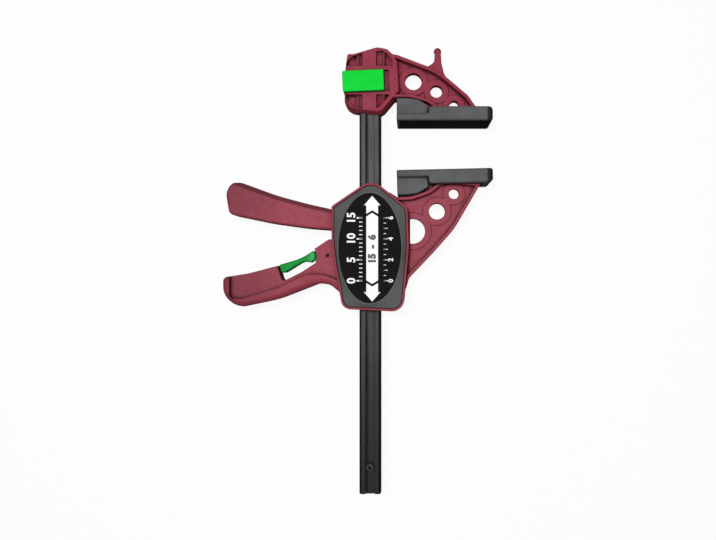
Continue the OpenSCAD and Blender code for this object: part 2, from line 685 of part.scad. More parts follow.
bar();
stop_pin();
head_moulding();
fixed_jaw_pad();
head_lock_button();
head_lock_pin();
head_lock_spring();
body_housing();
front_cover();
rear_cover();
front_label();
rear_label();
moving_jaw_pad();
trigger();
trigger_pivot_studs();
trigger_nose_pin();
drive_plate_upper();
drive_plate_lower();
drive_spring();
brake_plate();
brake_fulcrum_pin();
brake_spring();
release_lever();
release_lever_pin();
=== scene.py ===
"""Looks of a one-handed quick release bar clamp that lies on its rear cover.

Sizes are in millimetres and become metres when a piece is finished; only materials, lamps and camera
are in metres throughout. The solids of the frame give the inner bores, slots and cavities; the outer
skins with their rounded edges are made here.
"""

import math

import bmesh
import bpy
from mathutils import Matrix, Vector


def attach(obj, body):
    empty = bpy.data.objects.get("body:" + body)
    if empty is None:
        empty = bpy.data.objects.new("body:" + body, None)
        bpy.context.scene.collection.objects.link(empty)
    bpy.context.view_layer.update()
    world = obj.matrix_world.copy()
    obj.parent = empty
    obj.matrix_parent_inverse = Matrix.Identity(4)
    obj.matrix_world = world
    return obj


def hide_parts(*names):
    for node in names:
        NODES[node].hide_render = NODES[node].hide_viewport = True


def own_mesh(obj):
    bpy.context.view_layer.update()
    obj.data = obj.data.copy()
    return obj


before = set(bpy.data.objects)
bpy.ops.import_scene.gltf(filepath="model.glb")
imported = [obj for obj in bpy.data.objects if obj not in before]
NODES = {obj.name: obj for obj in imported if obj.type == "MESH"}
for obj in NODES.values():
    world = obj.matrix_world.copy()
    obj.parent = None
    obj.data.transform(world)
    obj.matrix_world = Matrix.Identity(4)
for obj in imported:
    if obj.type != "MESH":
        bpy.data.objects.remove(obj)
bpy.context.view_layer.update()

MM = 0.001
MID = 17.0  # height of the clamp's mirror plane
SKIN = 0.03  # the sides of a finished skin lie this far inside the solid
FACE_IN = 0.02  # and its flat faces this far
APART = 0.08  # keeps the faces of solids that are fused from lying in one plane
ARC = 6  # steps of a rounded edge
QUARTER = [math.pi / 2 * i / ARC for i in range(ARC + 1)]

# Where the jaws stand
FIXED_FACE_Y = 91.0948
MOVING_FACE_Y = 55.15
TOE_IN = math.radians(1.3)
HEAD_PLACE = Matrix.Translation((0, FIXED_FACE_Y, 0))
FIXED_PAD_PLACE = HEAD_PLACE
MOVING_PAD_PLACE = (Matrix.Translation((0, MOVING_FACE_Y, 0)) @ Matrix.Rotation(TOE_IN, 4, "Z")
                    @ Matrix.Diagonal((1, -1, 1, 1)))
LOCK_PLACE = Matrix.Translation((7, FIXED_FACE_Y + 30.3, 0)) @ Matrix.Rotation(math.radians(2.3), 4, "Z")
HERE = Matrix.Identity(4)
TO_THE_BACK = Matrix.Translation((0, 0, 2 * MID)) @ Matrix.Diagonal((1, 1, -1, 1))
# Turns a shape drawn in X and Z, with heights along Y
ALONG_Y = Matrix(((1, 0, 0, 0), (0, 0, 1, 0), (0, 1, 0, MID), (0, 0, 0, 1)))


# ---- Outlines ----
def full_turn(count):
    return [2 * math.pi * i / count for i in range(count)]


def rounded_corner(before, at, after, radius, steps):
    """Points of the arc that rounds one corner."""
    u, v = (before - at).normalized(), (after - at).normalized()
    half = math.acos(max(-1.0, min(1.0, u.dot(v)))) / 2
    if radius <= 0 or half > math.radians(89.5):
        return [at]
    reach = min(radius / math.tan(half), 0.49 * (before - at).length, 0.49 * (after - at).length)
    radius = reach * math.tan(half)
    centre = at + (u + v).normalized() * radius / math.sin(half)
    start, end = at + u * reach - centre, at + v * reach - centre
    first = math.atan2(start.y, start.x)
    turn = math.atan2(end.y, end.x) - first
    turn = (turn + math.pi) % (2 * math.pi) - math.pi
    return [centre + radius * Vector((math.cos(first + turn * i / steps), math.sin(first + turn * i / steps)))
            for i in range(steps + 1)]


def moved(points, by):
    """Corners moved outwards by a distance, and how sharply the outline turns left at each."""
    spots, turns = [], []
    for i, p in enumerate(points):
        u = (p - points[i - 1]).normalized()
        v = (points[(i + 1) % len(points)] - p).normalized()
        n, m = Vector((u.y, -u.x)), Vector((v.y, -v.x))
        spots.append(p + by * (n + m) / max(0.3, 1 + n.dot(m)))
        turns.append(u.x * v.y - u.y * v.x)
    return spots, turns


def anticlockwise(points):
    return sum(a.x * b.y - b.x * a.y for a, b in zip(points, points[1:] + points[:1])) > 0


# A shape is a function that gives its points for a growth in millimetres.
def outline(corners, steps=8):
    """The shape of a polygon with corners (x, y, radius); its corners keep round as it grows or shrinks."""
    at = [Vector(c[:2]) for c in corners]
    radii = [c[2] if len(c) > 2 else 0 for c in corners]
    if not anticlockwise(at):
        at, radii = at[::-1], radii[::-1]

    def shape(by):
        spots, turns = moved(at, by)
        points = []
        for i, radius in enumerate(radii):
            if radius:
                radius = max(radius + (by if turns[i] > 0 else -by), 0.01)
            points += rounded_corner(spots[i - 1], spots[i], spots[(i + 1) % len(spots)], radius, steps)
        return points
    return shape


def ring(centre, radius, count=56):
    x, y = centre
    return lambda by: [Vector((x + (radius + by) * math.cos(a), y + (radius + by) * math.sin(a)))
                       for a in full_turn(count)]


def traced(points):
    """The shape of any plain row of points."""
    points = points if anticlockwise(points) else points[::-1]
    return lambda by: moved(points, by)[0]


def grown(shape, more):
    return lambda by: shape(by + more)


# ---- Profiles: (growth, height) pairs ----
def edge_profile(low, high, low_r, high_r, skin=SKIN):
    """A plate with rounded edges."""
    bottom = [(-low_r * (1 - math.sin(a)) - skin, low + low_r * (1 - math.cos(a))) for a in QUARTER]
    top = [(-high_r * (1 - math.cos(a)) - skin, high - high_r * (1 - math.sin(a))) for a in QUARTER]
    return (bottom if low_r else [(-skin, low)]) + (top if high_r else [(-skin, high)])


def pocket_profile(floor, mouth, floor_r, lip_r, skin=SKIN):
    """A cutter with a rounded floor, and a lip that flares at the mouth."""
    low = [(-floor_r * (1 - math.sin(a)) + skin, floor + floor_r * (1 - math.cos(a))) for a in QUARTER]
    lip = [(lip_r * (1 - math.cos(a)) + skin, mouth - lip_r * (1 - math.sin(a))) for a in QUARTER]
    return (low if floor_r else [(skin, floor)]) + lip + [(lip_r + skin, mouth + 3)]


def both_halves(upper):
    """A profile above the mirror plane, with its mirror image below."""
    return [(by, 2 * MID - height) for by, height in reversed(upper)] + upper


# ---- Solids ----
def work_object(data):
    obj = bpy.data.objects.new("work", data)
    bpy.context.scene.collection.objects.link(obj)
    return obj


def object_of(bm):
    """The object of a finished bmesh, which is freed."""
    mesh = bpy.data.meshes.new("work")
    bm.to_mesh(mesh)
    bm.free()
    return work_object(mesh)


def outwards(obj):
    """Turns the faces of a closed solid outwards."""
    bm = bmesh.new()
    bm.from_mesh(obj.data)
    bmesh.ops.recalc_face_normals(bm, faces=bm.faces)
    if bm.calc_volume(signed=True) < 0:
        bmesh.ops.reverse_faces(bm, faces=bm.faces)
    bm.to_mesh(obj.data)
    bm.free()
    return obj


def lofted(verts, count):
    """A closed solid through rows of this many points each."""
    faces = [tuple(range(count - 1, -1, -1)), tuple(range(len(verts) - count, len(verts)))]
    for k in range(len(verts) // count - 1):
        for i in range(count):
            j = (i + 1) % count
            faces.append((k * count + i, k * count + j, (k + 1) * count + j, (k + 1) * count + i))
    mesh = bpy.data.meshes.new("work")
    mesh.from_pydata([tuple(v) for v in verts], [], faces)
    mesh.update()
    return outwards(work_object(mesh))


def sweep(shape, profile, place=HERE):
    """A closed solid: the shape at each height of the profile, which grows or shrinks it."""
    verts = [place @ Vector((p.x, p.y, height)) for by, height in profile for p in shape(by)]
    return lofted(verts, len(verts) // len(profile))


def plate(shape, half, radius, place=HERE, skin=SKIN):
    """A slab of both halves about the mirror plane, with both edges rounded."""
    return sweep(shape, edge_profile(MID - half + FACE_IN, MID + half - FACE_IN, radius, radius, skin), place)


def sloped(corners, half, inward, fall, place=HERE):
    """Keeps a slab narrower towards both faces, along the sides that the corners follow."""
    slope = [(-SKIN, MID + half - fall), (-1.1 * inward - SKIN, MID + half + 0.1 * fall)]
    return sweep(outline(corners, 12), both_halves(slope), place)


def through(shape, half, lip, place=HERE, skin=SKIN):
    """A cutter right through a slab, flared at both faces."""
    return sweep(shape, both_halves(pocket_profile(MID, MID + half, 0, lip, skin)[1:]), place)


def mirrored(make):
    """What make draws for the front, and the same behind the mirror plane."""
    front, back = make(), make()
    back.data.transform(TO_THE_BACK)
    return [front, outwards(back)]


def turn_over(obj):
    """Turns a front piece about the bar to the rear side, so that its print reads the right way."""
    obj.data.transform(Matrix.Translation((0, 0, MID)) @ Matrix.Rotation(math.pi, 4, "Y")
                       @ Matrix.Translation((0, 0, -MID)))


def box(low, high, place=HERE):
    corners = [(low[0], low[1]), (high[0], low[1]), (high[0], high[1]), (low[0], high[1])]
    return sweep(outline(corners), [(0, low[2]), (0, high[2])], place)


def ball_of(centre, radius, rings=16, sides=32):
    bm = bmesh.new()
    bmesh.ops.create_uvsphere(bm, u_segments=sides, v_segments=rings, radius=radius,
                              matrix=Matrix.Translation(centre))
    return object_of(bm)


def solid_of(node):
    """A closed copy of a frame solid, in millimetres."""
    bm = bmesh.new()
    bm.from_mesh(NODES[node].data)
    bmesh.ops.remove_doubles(bm, verts=bm.verts, dist=1e-7)
    bmesh.ops.scale(bm, vec=(1 / MM,) * 3, verts=bm.verts)
    return object_of(bm)


def drop(obj):
    mesh = obj.data
    bpy.data.objects.remove(obj)
    if mesh.users == 0:
        bpy.data.meshes.remove(mesh)


def joined(objects):
    """Several meshes as the shells of one piece."""
    bm = bmesh.new()
    for obj in objects:
        bm.from_mesh(obj.data)
    for obj in objects:
        drop(obj)
    return object_of(bm)


def evaluated(obj):
    """The object's mesh with its modifiers applied, in the same object."""
    graph = bpy.context.evaluated_depsgraph_get()
    mesh = bpy.data.meshes.new_from_object(obj.evaluated_get(graph))
    obj.modifiers.clear()
    old, obj.data = obj.data, mesh
    bpy.data.meshes.remove(old)
    return obj


def combine(first, others, operation):
    for other in others:
        step = first.modifiers.new("combine", "BOOLEAN")
        step.operation, step.solver, step.object = operation, "MANIFOLD", other
    evaluated(first)
    for other in others:
        drop(other)
    return first


def fuse(first, *others):
    return combine(first, others, "UNION")


def cut(first, *others):
    return combine(first, others, "DIFFERENCE")


def keep(first, *others):
    return combine(first, others, "INTERSECT")


# ---- Finishing a piece ----
SHARP, FLAT = math.radians(34), math.radians(0.2)


def finish_piece(obj, name, body, material, replaces=()):
    """Names a piece, brings it to metres, smooths its rounded edges and puts it on its body."""
    mesh = obj.data
    bm = bmesh.new()
    bm.from_mesh(mesh)
    bmesh.ops.remove_doubles(bm, verts=bm.verts, dist=0.002)
    bmesh.ops.dissolve_degenerate(bm, edges=bm.edges, dist=1e-4)
    bmesh.ops.dissolve_limit(bm, angle_limit=FLAT, verts=bm.verts, edges=bm.edges)
    bmesh.ops.delete(bm, geom=[v for v in bm.verts if not v.link_faces], context="VERTS")
    bmesh.ops.scale(bm, vec=(MM,) * 3, verts=bm.verts)
    bm.to_mesh(mesh)
    bm.free()
    mesh.materials.clear()
    mesh.materials.append(material)
    for face in mesh.polygons:
        face.material_index = 0
    mesh.shade_smooth()
    mesh.set_sharp_from_angle(angle=SHARP)
    weighted = obj.modifiers.new("even", "WEIGHTED_NORMAL")
    weighted.keep_sharp, weighted.weight = True, 80
    corners = obj.modifiers.new("corners", "TRIANGULATE")
    corners.min_vertices, corners.keep_custom_normals = 5, True
    evaluated(obj)
    obj.name = obj.data.name = name
    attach(obj, body)
    if replaces:
        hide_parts(*replaces)
    return obj


def dress(node, material):
    """A frame solid whose shape is right keeps its mesh and gets its finish."""
    mesh = NODES[node].data
    mesh.materials.clear()
    mesh.materials.append(material)


# ---- Nodes ----
def add(tree, kind, inputs=None, **settings):
    """A new node: its settings first, then each input set to a value or linked to a socket."""
    node = tree.nodes.new(kind)
    for setting, value in settings.items():
        setattr(node, setting, value)
    for socket, value in (inputs or {}).items():
        if isinstance(value, bpy.types.NodeSocket):
            tree.links.new(value, node.inputs[socket])
        else:
            node.inputs[socket].default_value = value
    return node


def math_node(tree, operation, first, second):
    return add(tree, "ShaderNodeMath", {0: first, 1: second}, operation=operation).outputs[0]


def cleared(owner):
    """The emptied node tree of a material or a world."""
    owner.use_nodes = True
    owner.node_tree.nodes.clear()
    return owner.node_tree


# ---- Materials ----
MIX_SHARE, MIX_FIRST, MIX_SECOND, MIXED = 0, 6, 7, 2  # colour sockets of a Mix node


class Finish:
    """A node material on Object coordinates, built up feature by feature; its lengths are in metres."""

    def __init__(self, name, roughness, specular=0.5, metallic=0.0):
        self.material = bpy.data.materials.new(name)
        self.tree = cleared(self.material)
        self.skin = self.add("ShaderNodeBsdfPrincipled", {
            "Roughness": roughness, "Specular IOR Level": specular, "Metallic": metallic})
        self.add("ShaderNodeOutputMaterial", {"Surface": self.skin.outputs["BSDF"]})
        self.place = self.add("ShaderNodeTexCoord").outputs["Object"]
        self.colour = None
        self.normal = None

    def add(self, kind, inputs=None, **settings):
        return add(self.tree, kind, inputs, **settings)

    def along(self, axis):
        """One coordinate of the point."""
        return self.add("ShaderNodeSeparateXYZ", {"Vector": self.place}).outputs[axis]

    def noise(self, size, detail, seed, stretch=None):
        """Noise from 0 to 1 with features of about this size."""
        place = self.place
        if stretch:
            place = self.add("ShaderNodeMapping", {"Vector": place, "Scale": stretch}).outputs["Vector"]
        return self.add("ShaderNodeTexNoise", {
            "Vector": place, "W": seed, "Scale": 1 / size, "Detail": detail},
            noise_dimensions="4D").outputs["Fac"]

    def ramp(self, value, low, high, at_low=0.0, at_high=1.0):
        return self.add("ShaderNodeMapRange", {
            "Value": value, "From Min": low, "From Max": high, "To Min": at_low, "To Max": at_high},
            interpolation_type="SMOOTHSTEP").outputs["Result"]

    def mix(self, share, first, second):
        """Two colours mixed; each may be a socket, and so may the share."""
        first, second = (c if isinstance(c, bpy.types.NodeSocket) else (*c, 1) for c in (first, second))
        return self.add("ShaderNodeMix", {MIX_SHARE: share, MIX_FIRST: first, MIX_SECOND: second},
                        data_type="RGBA").outputs[MIXED]

    def times(self, first, second):
        return math_node(self.tree, "MULTIPLY", first, second)

    def mottled(self, size, detail, first, second, low=0.3, high=0.7, stretch=None):
        """The base: two tones that pass into each other in clouds of this size."""
        self.colour = self.mix(self.ramp(self.noise(size, detail, 1.0, stretch), low, high), first, second)

    def tint(self, mask, share, colour):
        """Takes the colour a share of the way to another where the mask is 1."""
        self.colour = self.mix(self.times(mask, share), self.colour, colour)

    def hollows(self, reach, dark, share):
        """Painted shade that darkens the colour in corners within this reach."""
        shade = self.add("ShaderNodeAmbientOcclusion", {"Distance": reach}, samples=8)
        open_air = self.ramp(shade.outputs["AO"], 0.35, 0.95)
        self.tint(math_node(self.tree, "SUBTRACT", 1.0, open_air), share, dark)

    def dark_edges(self, radius, dark, share):
        """Painted shade along the edges, uneven in patches."""
        rounded = self.add("ShaderNodeBevel", {"Radius": radius}, samples=6).outputs["Normal"]
        plain = self.add("ShaderNodeNewGeometry").outputs["Normal"]
        facing = self.add("ShaderNodeVectorMath", {0: rounded, 1: plain}, operation="DOT_PRODUCT")
        edge = self.ramp(facing.outputs["Value"], 0.985, 0.86)
        patch = self.ramp(self.noise(0.004, 3, 7.0), 0.35, 0.7, 0.6, 1.0)
        self.tint(self.times(edge, patch), share, dark)

    def grain(self, size, detail, seed, depth, stretch=None):
        """A bump of noise, this deep from its lowest to its highest."""
        bump = {"Height": self.noise(size, detail, seed, stretch), "Distance": depth}
        if self.normal:
            bump["Normal"] = self.normal
        self.normal = self.add("ShaderNodeBump", bump).outputs["Normal"]

    def uneven_gloss(self, size, detail, seed, low, high, stretch=None):
        """Roughness that varies between two values."""
        roughness = self.ramp(self.noise(size, detail, seed, stretch), 0.3, 0.7, low, high)
        self.tree.links.new(roughness, self.skin.inputs["Roughness"])

    def done(self):
        self.tree.links.new(self.colour, self.skin.inputs["Base Color"])
        self.tree.links.new(self.normal, self.skin.inputs["Normal"])
        return self.material


def crimson_moulding():
    """Glass-filled nylon in crimson with a fine grain, with painted shade towards the handles' ends, and
    purer at the head.
    """
    m = Finish("crimson_moulding", 0.58, 0.2)
    m.mottled(0.03, 3, (0.305, 0.039, 0.064), (0.340, 0.047, 0.076))
    m.tint(m.ramp(m.noise(0.0007, 2, 2.0), 0.35, 0.65), 0.06, (0.62, 0.26, 0.30))
    # Painted shade: darker towards the handles' ends
    m.tint(m.ramp(m.along("X"), -0.050, -0.102), 0.5, (0.150, 0.026, 0.046))
    m.tint(m.ramp(m.along("Y"), 0.030, 0.095), 0.85, (0.300, 0.026, 0.056))
    # Painted shade along the edges and in the corners
    m.dark_edges(0.0013, (0.075, 0.004, 0.010), 0.9)
    m.hollows(0.0036, (0.040, 0.001, 0.004), 0.9)
    m.grain(0.00045, 3, 3.0, 0.00003)
    m.grain(0.006, 1, 4.0, 0.00006)
    m.uneven_gloss(0.004, 4, 5.0, 0.52, 0.64)
    return m.done()


# Painted shade on the bar, in the left corner of the groove and along both chamfers:
# where across the bar it begins, is full, is full to and ends, and how much it covers
PAINTED_SHADE_STRIPS = [(-0.0040, -0.0034, -0.0024, -0.0006, 0.95), (-0.0090, -0.0085, -0.0068, -0.0060, 0.8),
                 (0.0054, 0.0064, 0.0085, 0.0090, 0.93)]


def oxide_bar():
    """Cold-drawn bar with a black oxide skin and streaks along it, with painted shade that darkens it towards
    its lower end.
    """
    m = Finish("black_oxide_bar", 0.60, 0.2, metallic=0.1)
    # Painted shade: darker towards the lower end and lighter towards the top
    m.colour = m.mix(m.ramp(m.along("Y"), -0.195, 0.11), (0.0215, 0.0220, 0.0230), (0.098, 0.099, 0.103))
    m.tint(m.ramp(m.noise(0.0013, 4, 1.0, (1, 0.02, 1)), 0.3, 0.7), 0.152, (0, 0, 0))
    m.tint(m.ramp(m.noise(0.012, 4, 2.0, (1, 0.25, 1)), 0.35, 0.75), 0.3, (0.034, 0.035, 0.038))
    across = m.along("X")
    # Strips of painted shade along the groove's corner and the chamfers
    for begin, full, full_to, end, share in PAINTED_SHADE_STRIPS:
        strip = m.times(m.ramp(across, begin, full), m.ramp(across, end, full_to))
        m.tint(strip, share, (0.002, 0.002, 0.002))
    # Painted shade in the corners
    m.hollows(0.002, (0.006, 0.006, 0.007), 0.7)
    m.grain(0.0006, 3, 3.0, 0.00003, (1, 0.03, 1))
    m.uneven_gloss(0.003, 3, 4.0, 0.52, 0.68, (1, 0.1, 1))
    return m.done()


def pad_rubber():
    """Grey rubber with a matt skin, and nearly black at the tips."""
    m = Finish("pad_rubber", 0.72, 0.25)
    m.mottled(0.012, 3, (0.088, 0.090, 0.091), (0.112, 0.115, 0.116))
    m.tint(m.ramp(m.noise(0.0006, 2, 2.0), 0.4, 0.7), 0.2, (0.19, 0.19, 0.19))
    m.tint(m.ramp(m.along("X"), 0.0840, 0.0856), 0.92, (0.004, 0.004, 0.004))
    # Painted shade along the edges and in the corners
    m.dark_edges(0.0010, (0.008, 0.008, 0.008), 0.8)
    m.hollows(0.003, (0.010, 0.010, 0.010), 0.8)
    m.grain(0.0005, 3, 3.0, 0.00004)
    return m.done()


def cover_plastic():
    """Dark grey moulding with a satin skin."""
    m = Finish("cover_grey_moulding", 0.6, 0.2)
    m.mottled(0.02, 3, (0.088, 0.097, 0.092), (0.106, 0.114, 0.109))
    # Painted shade along the edges and in the corners
    m.dark_edges(0.0005, (0.012, 0.012, 0.012), 0.6)
    m.hollows(0.002, (0.010, 0.010, 0.010), 0.7)
    m.grain(0.0004, 2, 3.0, 0.00002)
    return m.done()


def signal_plastic():
    """Bright green moulding."""
    m = Finish("signal_green_moulding", 0.6, 0.1)
    m.mottled(0.008, 3, (0.000, 0.70, 0.036), (0.000, 0.76, 0.050))
    # Painted shade in the corners
    m.hollows(0.002, (0.0, 0.16, 0.02), 0.6)
    m.grain(0.0005, 2, 2.0, 0.00002)
    m.grain(0.005, 1, 3.0, 0.00006)
    return m.done()


def lever_plastic():
    """Deep green moulding, with a painted highlight at the thumb end."""
    m = Finish("lever_green_moulding", 0.6, 0.15)
    m.mottled(0.008, 3, (0.005, 0.265, 0.036), (0.009, 0.320, 0.052))
    # Painted highlight: lighter green towards the thumb end
    m.tint(m.ramp(m.along("X"), -0.0470, -0.0415), 0.5, (0.120, 0.620, 0.230))
    # Painted shade along the edges and in the corners
    m.dark_edges(0.0008, (0.002, 0.080, 0.012), 0.6)
    m.hollows(0.003, (0.0, 0.05, 0.01), 0.7)
    m.grain(0.0005, 2, 2.0, 0.00002)
    return m.done()


def bright_steel(name, low, high, roughness):
    m = Finish(name, roughness, metallic=1.0)
    m.mottled(0.0012, 3, low, high, stretch=(1, 1, 0.2))
    # Painted shade in the corners
    m.hollows(0.0015, (0.05, 0.05, 0.05), 0.5)
    m.grain(0.0004, 2, 2.0, 0.000012)
    return m.done()


def plain_skin(name, roughness, specular, tones, grain):
    """A finish of two mottled tones and a grain, each given as in the methods of that name."""
    m = Finish(name, roughness, specular)
    m.mottled(*tones)
    m.grain(*grain)
    return m.done()


def pad_grip():
    """Rubber of the clamping faces with a little brown in it; its nearly black tone is painted shade."""
    tones = (0.0016, 4, (0.009, 0.0075, 0.006), (0.024, 0.020, 0.016), 0.35, 0.68)
    return plain_skin("pad_grip_rubber", 0.85, 0.12, tones, (0.0007, 3, 2.0, 0.00006))


def label_film():
    """Black printed film."""
    tones = (0.0009, 3, (0.0045, 0.0045, 0.0045), (0.0100, 0.0100, 0.0100), 0.3, 0.75)
    return plain_skin("label_film_black", 0.8, 0.1, tones, (0.0012, 2, 2.0, 0.000012))


def print_ink(name, low, high):
    return plain_skin(name, 0.45, 0.4, (0.0012, 3, low, high), (0.0008, 2, 2.0, 0.00001))


def blackened_pin(name, low, high):
    """Steel with a matt black skin."""
    return plain_skin(name, 0.7, 0.15, (0.0008, 2, low, high), (0.0004, 2, 2.0, 0.000012))


CRIMSON = crimson_moulding()
OXIDE = oxide_bar()
RUBBER = pad_rubber()
GRIP = pad_grip()
COVER = cover_plastic()
FILM = label_film()
WHITE_INK = print_ink("white_ink", (0.90, 0.90, 0.90), (0.94, 0.94, 0.94))
BLACK_INK = print_ink("black_ink", (0.008, 0.008, 0.008), (0.014, 0.014, 0.014))
SIGNAL = signal_plastic()
LEVER = lever_plastic()
STEEL = bright_steel("zinc_plated_steel", (0.42, 0.42, 0.44), (0.58, 0.58, 0.60), 0.34)
BLACK_PIN = blackened_pin("blackened_pin", (0.006, 0.006, 0.006), (0.014, 0.013, 0.013))
GREY_PIN = blackened_pin("oxidised_pin", (0.048, 0.048, 0.050), (0.085, 0.085, 0.087))
WIRE = bright_steel("spring_wire", (0.36, 0.36, 0.37), (0.50, 0.50, 0.51), 0.28)


# ---- Bar and stop pin ----
BAR_HALF_W, BAR_HALF_T, BAR_CHAMFER = 8.0, 4.0, 1.15
BAR_HIGH = 137.7948
BAR_LOW = BAR_HIGH - 319
GROOVE_HALF, GROOVE_DEEP = 3.3, 1.6
STOP_PIN_Y = BAR_LOW + 20.6
STOP_PIN_R, STOP_BORE_R, STOP_PIN_HALF_L, STOP_SLOT_HALF = 2.5, 1.3, 7.0, 0.4
GREASE_R, GREASE_HALF_T = 1.9, 0.8


def bar():
    w, t, g, c = BAR_HALF_W - SKIN, BAR_HALF_T - SKIN, GROOVE_HALF, BAR_CHAMFER
    deep = t - GROOVE_DEEP + 2 * SKIN
    upper = [(w, t - c, 0.5), (w - c, t, 0.5), (g, t, 0.35), (g - 0.25, deep, 1.1),
             (-g + 0.05, deep, 0.5), (-g, t, 0.25), (-w + c, t, 0.5), (-w, t - c, 0.5)]
    lower = [(-x, -z, r) for x, z, r in upper]
    length = edge_profile(BAR_LOW + FACE_IN, BAR_HIGH - FACE_IN, 0.8, 0.8, 0)
    skin = keep(sweep(outline(upper + lower, 5), length, ALONG_Y), solid_of("bar"))
    hole = through(ring((0, STOP_PIN_Y), STOP_PIN_R), BAR_HALF_T - GROOVE_DEEP, 0.3)
    finish_piece(cut(skin, hole), "bar_skin", "bar_and_head", OXIDE, ["bar"])


def stop_pin():
    """A rolled spring pin: a slotted tube with rounded ends, stopped up with grease."""
    at = (0, STOP_PIN_Y)
    tube = plate(ring(at, STOP_PIN_R), STOP_PIN_HALF_L, 0.5, skin=0.01)
    bore = through(ring(at, STOP_BORE_R, 40), STOP_PIN_HALF_L, 0.4, skin=0)
    slot = box((-STOP_SLOT_HALF, STOP_PIN_Y - 4, MID - 9), (STOP_SLOT_HALF, STOP_PIN_Y, MID + 9))
    grease = plate(ring(at, GREASE_R, 40), GREASE_HALF_T, 0.1, skin=0)
    rolled = fuse(cut(tube, bore, slot), grease)
    finish_piece(rolled, "stop_pin_rolled", "bar_and_head", GREY_PIN, ["stop_pin"])


# ---- Jaw arms, shared by the head and the housing ----
FLANGE_HALF, FLANGE_W = 9.0, 2.6
WEB_HALF, BOSS_HALF, BOSS_W = 2.5, 3.25, 4.6


def boss(centre, radius, place):
    """A round boss on the web, filleted at its foot and rounded at its rim."""
    foot, rim = 0.4, 0.3
    up = [(foot * (1 - math.sin(a)), MID + WEB_HALF + foot * (1 - math.cos(a))) for a in QUARTER]
    up += [(-rim * (1 - math.cos(a)), MID + BOSS_HALF - rim * (1 - math.sin(a)) - FACE_IN) for a in QUARTER]
    return sweep(ring(centre, radius - SKIN), both_halves(up), place)


def neck(first, second, half_width, place):
    """Fills the cusp where two bosses meet."""
    a, b = Vector(first[:2]), Vector(second[:2])
    side = (b - a).normalized().orthogonal() * half_width
    corners = [(*(a + side), 0), (*(a - side), 0), (*(b - side), 0), (*(b + side), 0)]
    return plate(outline(corners), BOSS_HALF - 0.01, 0.3, place)


def arm_skin(corners, holes, place):
    """Flange, web and bosses of a jaw arm, whose holes are (x, y, radius)."""
    shape = outline(corners)
    arm = plate(shape, FLANGE_HALF - 0.01, 0.9, place)
    inner = grown(shape, -FLANGE_W)
    arm = cut(arm, *mirrored(lambda: sweep(
        inner, pocket_profile(MID + WEB_HALF - FACE_IN, MID + FLANGE_HALF, 1.1, 0.7), place)))
    bosses = [boss(h[:2], h[2] + BOSS_W, place) for h in holes]
    bosses += [neck(a, b, 0.62 * min(a[2], b[2]) + 2.2, place) for a, b in zip(holes, holes[1:])]
    within = plate(shape, FLANGE_HALF - 0.1, 0, place)
    bosses = keep(fuse(bosses[0], *bosses[1:]), within)
    return fuse(arm, bosses)


def hole_cutters(holes, place):
    return [through(ring(h[:2], h[2]), BOSS_HALF, 0.55, place) for h in holes]


# Two slabs (corner, corner, half thickness) and a wall hold the jaw's shoe, which the pad hides
SHOE_SLABS = [((21.5, 2.9), (46.1, 7.1), 9.1), ((44.9, 2.9), (84.6, 7.1), 13.1)]
SHOE_WALL = [(21.6, 5.9), (46.1, 5.9), (46.1, 12.05), (38, 18.7), (21.5, 18.7)]
SHOE_WALL_HALF = 2.55


def shoe_envelope(place):
    slabs = [box((*low, MID - half), (*high, MID + half), place) for low, high, half in SHOE_SLABS]
    return [*slabs, sweep(outline(SHOE_WALL), [(0, MID - SHOE_WALL_HALF), (0, MID + SHOE_WALL_HALF)], place)]


# ---- Head ----
HEAD_HALF = 9.0
HEAD = [(-16.3, 50, 1.4), (-18.6, 36, 30), (-18.9, 9, 9.5), (8.6, 5.7, 8), (21.8, 21.6, 5), (20, 45, 4),
        (16.4, 50, 4), (12.6, 53.6, 4), (5.4, 55, 8), (-12.2, 49.9, 3)]
# The slope along the head's lower sides, with its other sides out of the way
HEAD_SLOPE = [(-18.6, 90), (-18.9, 9, 9.5), (8.6, 5.7, 8), (61.4, 69.3), (61.4, 90)]
HEAD_SLOPE_IN, HEAD_SLOPE_FALL = 1.9, 5.5
HEAD_ARM = [(12, 18.2, 0), (29, 18.2, 14), (42.5, 14.6, 14), (52, 6.6, 0), (80.6, 6.6, 1), (71.7, 19.7, 18),
            (50, 38, 50), (20, 49.3, 5), (12, 50.6, 0)]
HEAD_HOLES = [(31.7, 31.2, 6.1), (48.6, 23.9, 4.4), (61.6, 13.5, 3.4)]
HORN = [(41, 36, 0), (57, 27, 0), (58.3, 30.8, 0), (54.4, 37.4, 6), (52.5, 45, 10), (51.9, 53.5, 1),
        (47.4, 53.5, 1), (47.2, 46, 4), (42.2, 42.6, 4), (38, 42.2, 0)]
HORN_TIP, HORN_BALL_R, HORN_HALF = (49.55, 53.9), 2.8, 2.5
POCKET_RIB_HALF, POCKET_RIB_TOP = 0.6, 7.6
POCKETS = [(-16.9, 41), (-15.8, 45.1, 2), (-12.4, 48.2, 3), (-5.6, 50.2), (9.2, 52.2, 3), (13.2, 49.5, 2),
           (16.1, 45.4, 3), (16.4, 41), (13.8, 19.4, 1), (6.3, 10.7, 1.5), (-6, 10.1, 8), (-11.2, 11.2, 6),
           (-15.3, 14.2, 6), (-17.2, 18.5, 6)]
POCKET_ROWS = [(2, 20.2), (41.4, 53.5)]
POCKET_COLUMNS = [(-5.6, -8.8, -17), (4.8, 10.1, 17.5)]
SHALLOW, DEEP = 5.9, 2.5
TRACK_FLOOR, TRACK_HALF, TRACK_END = 6.5, 7.65, 6.9


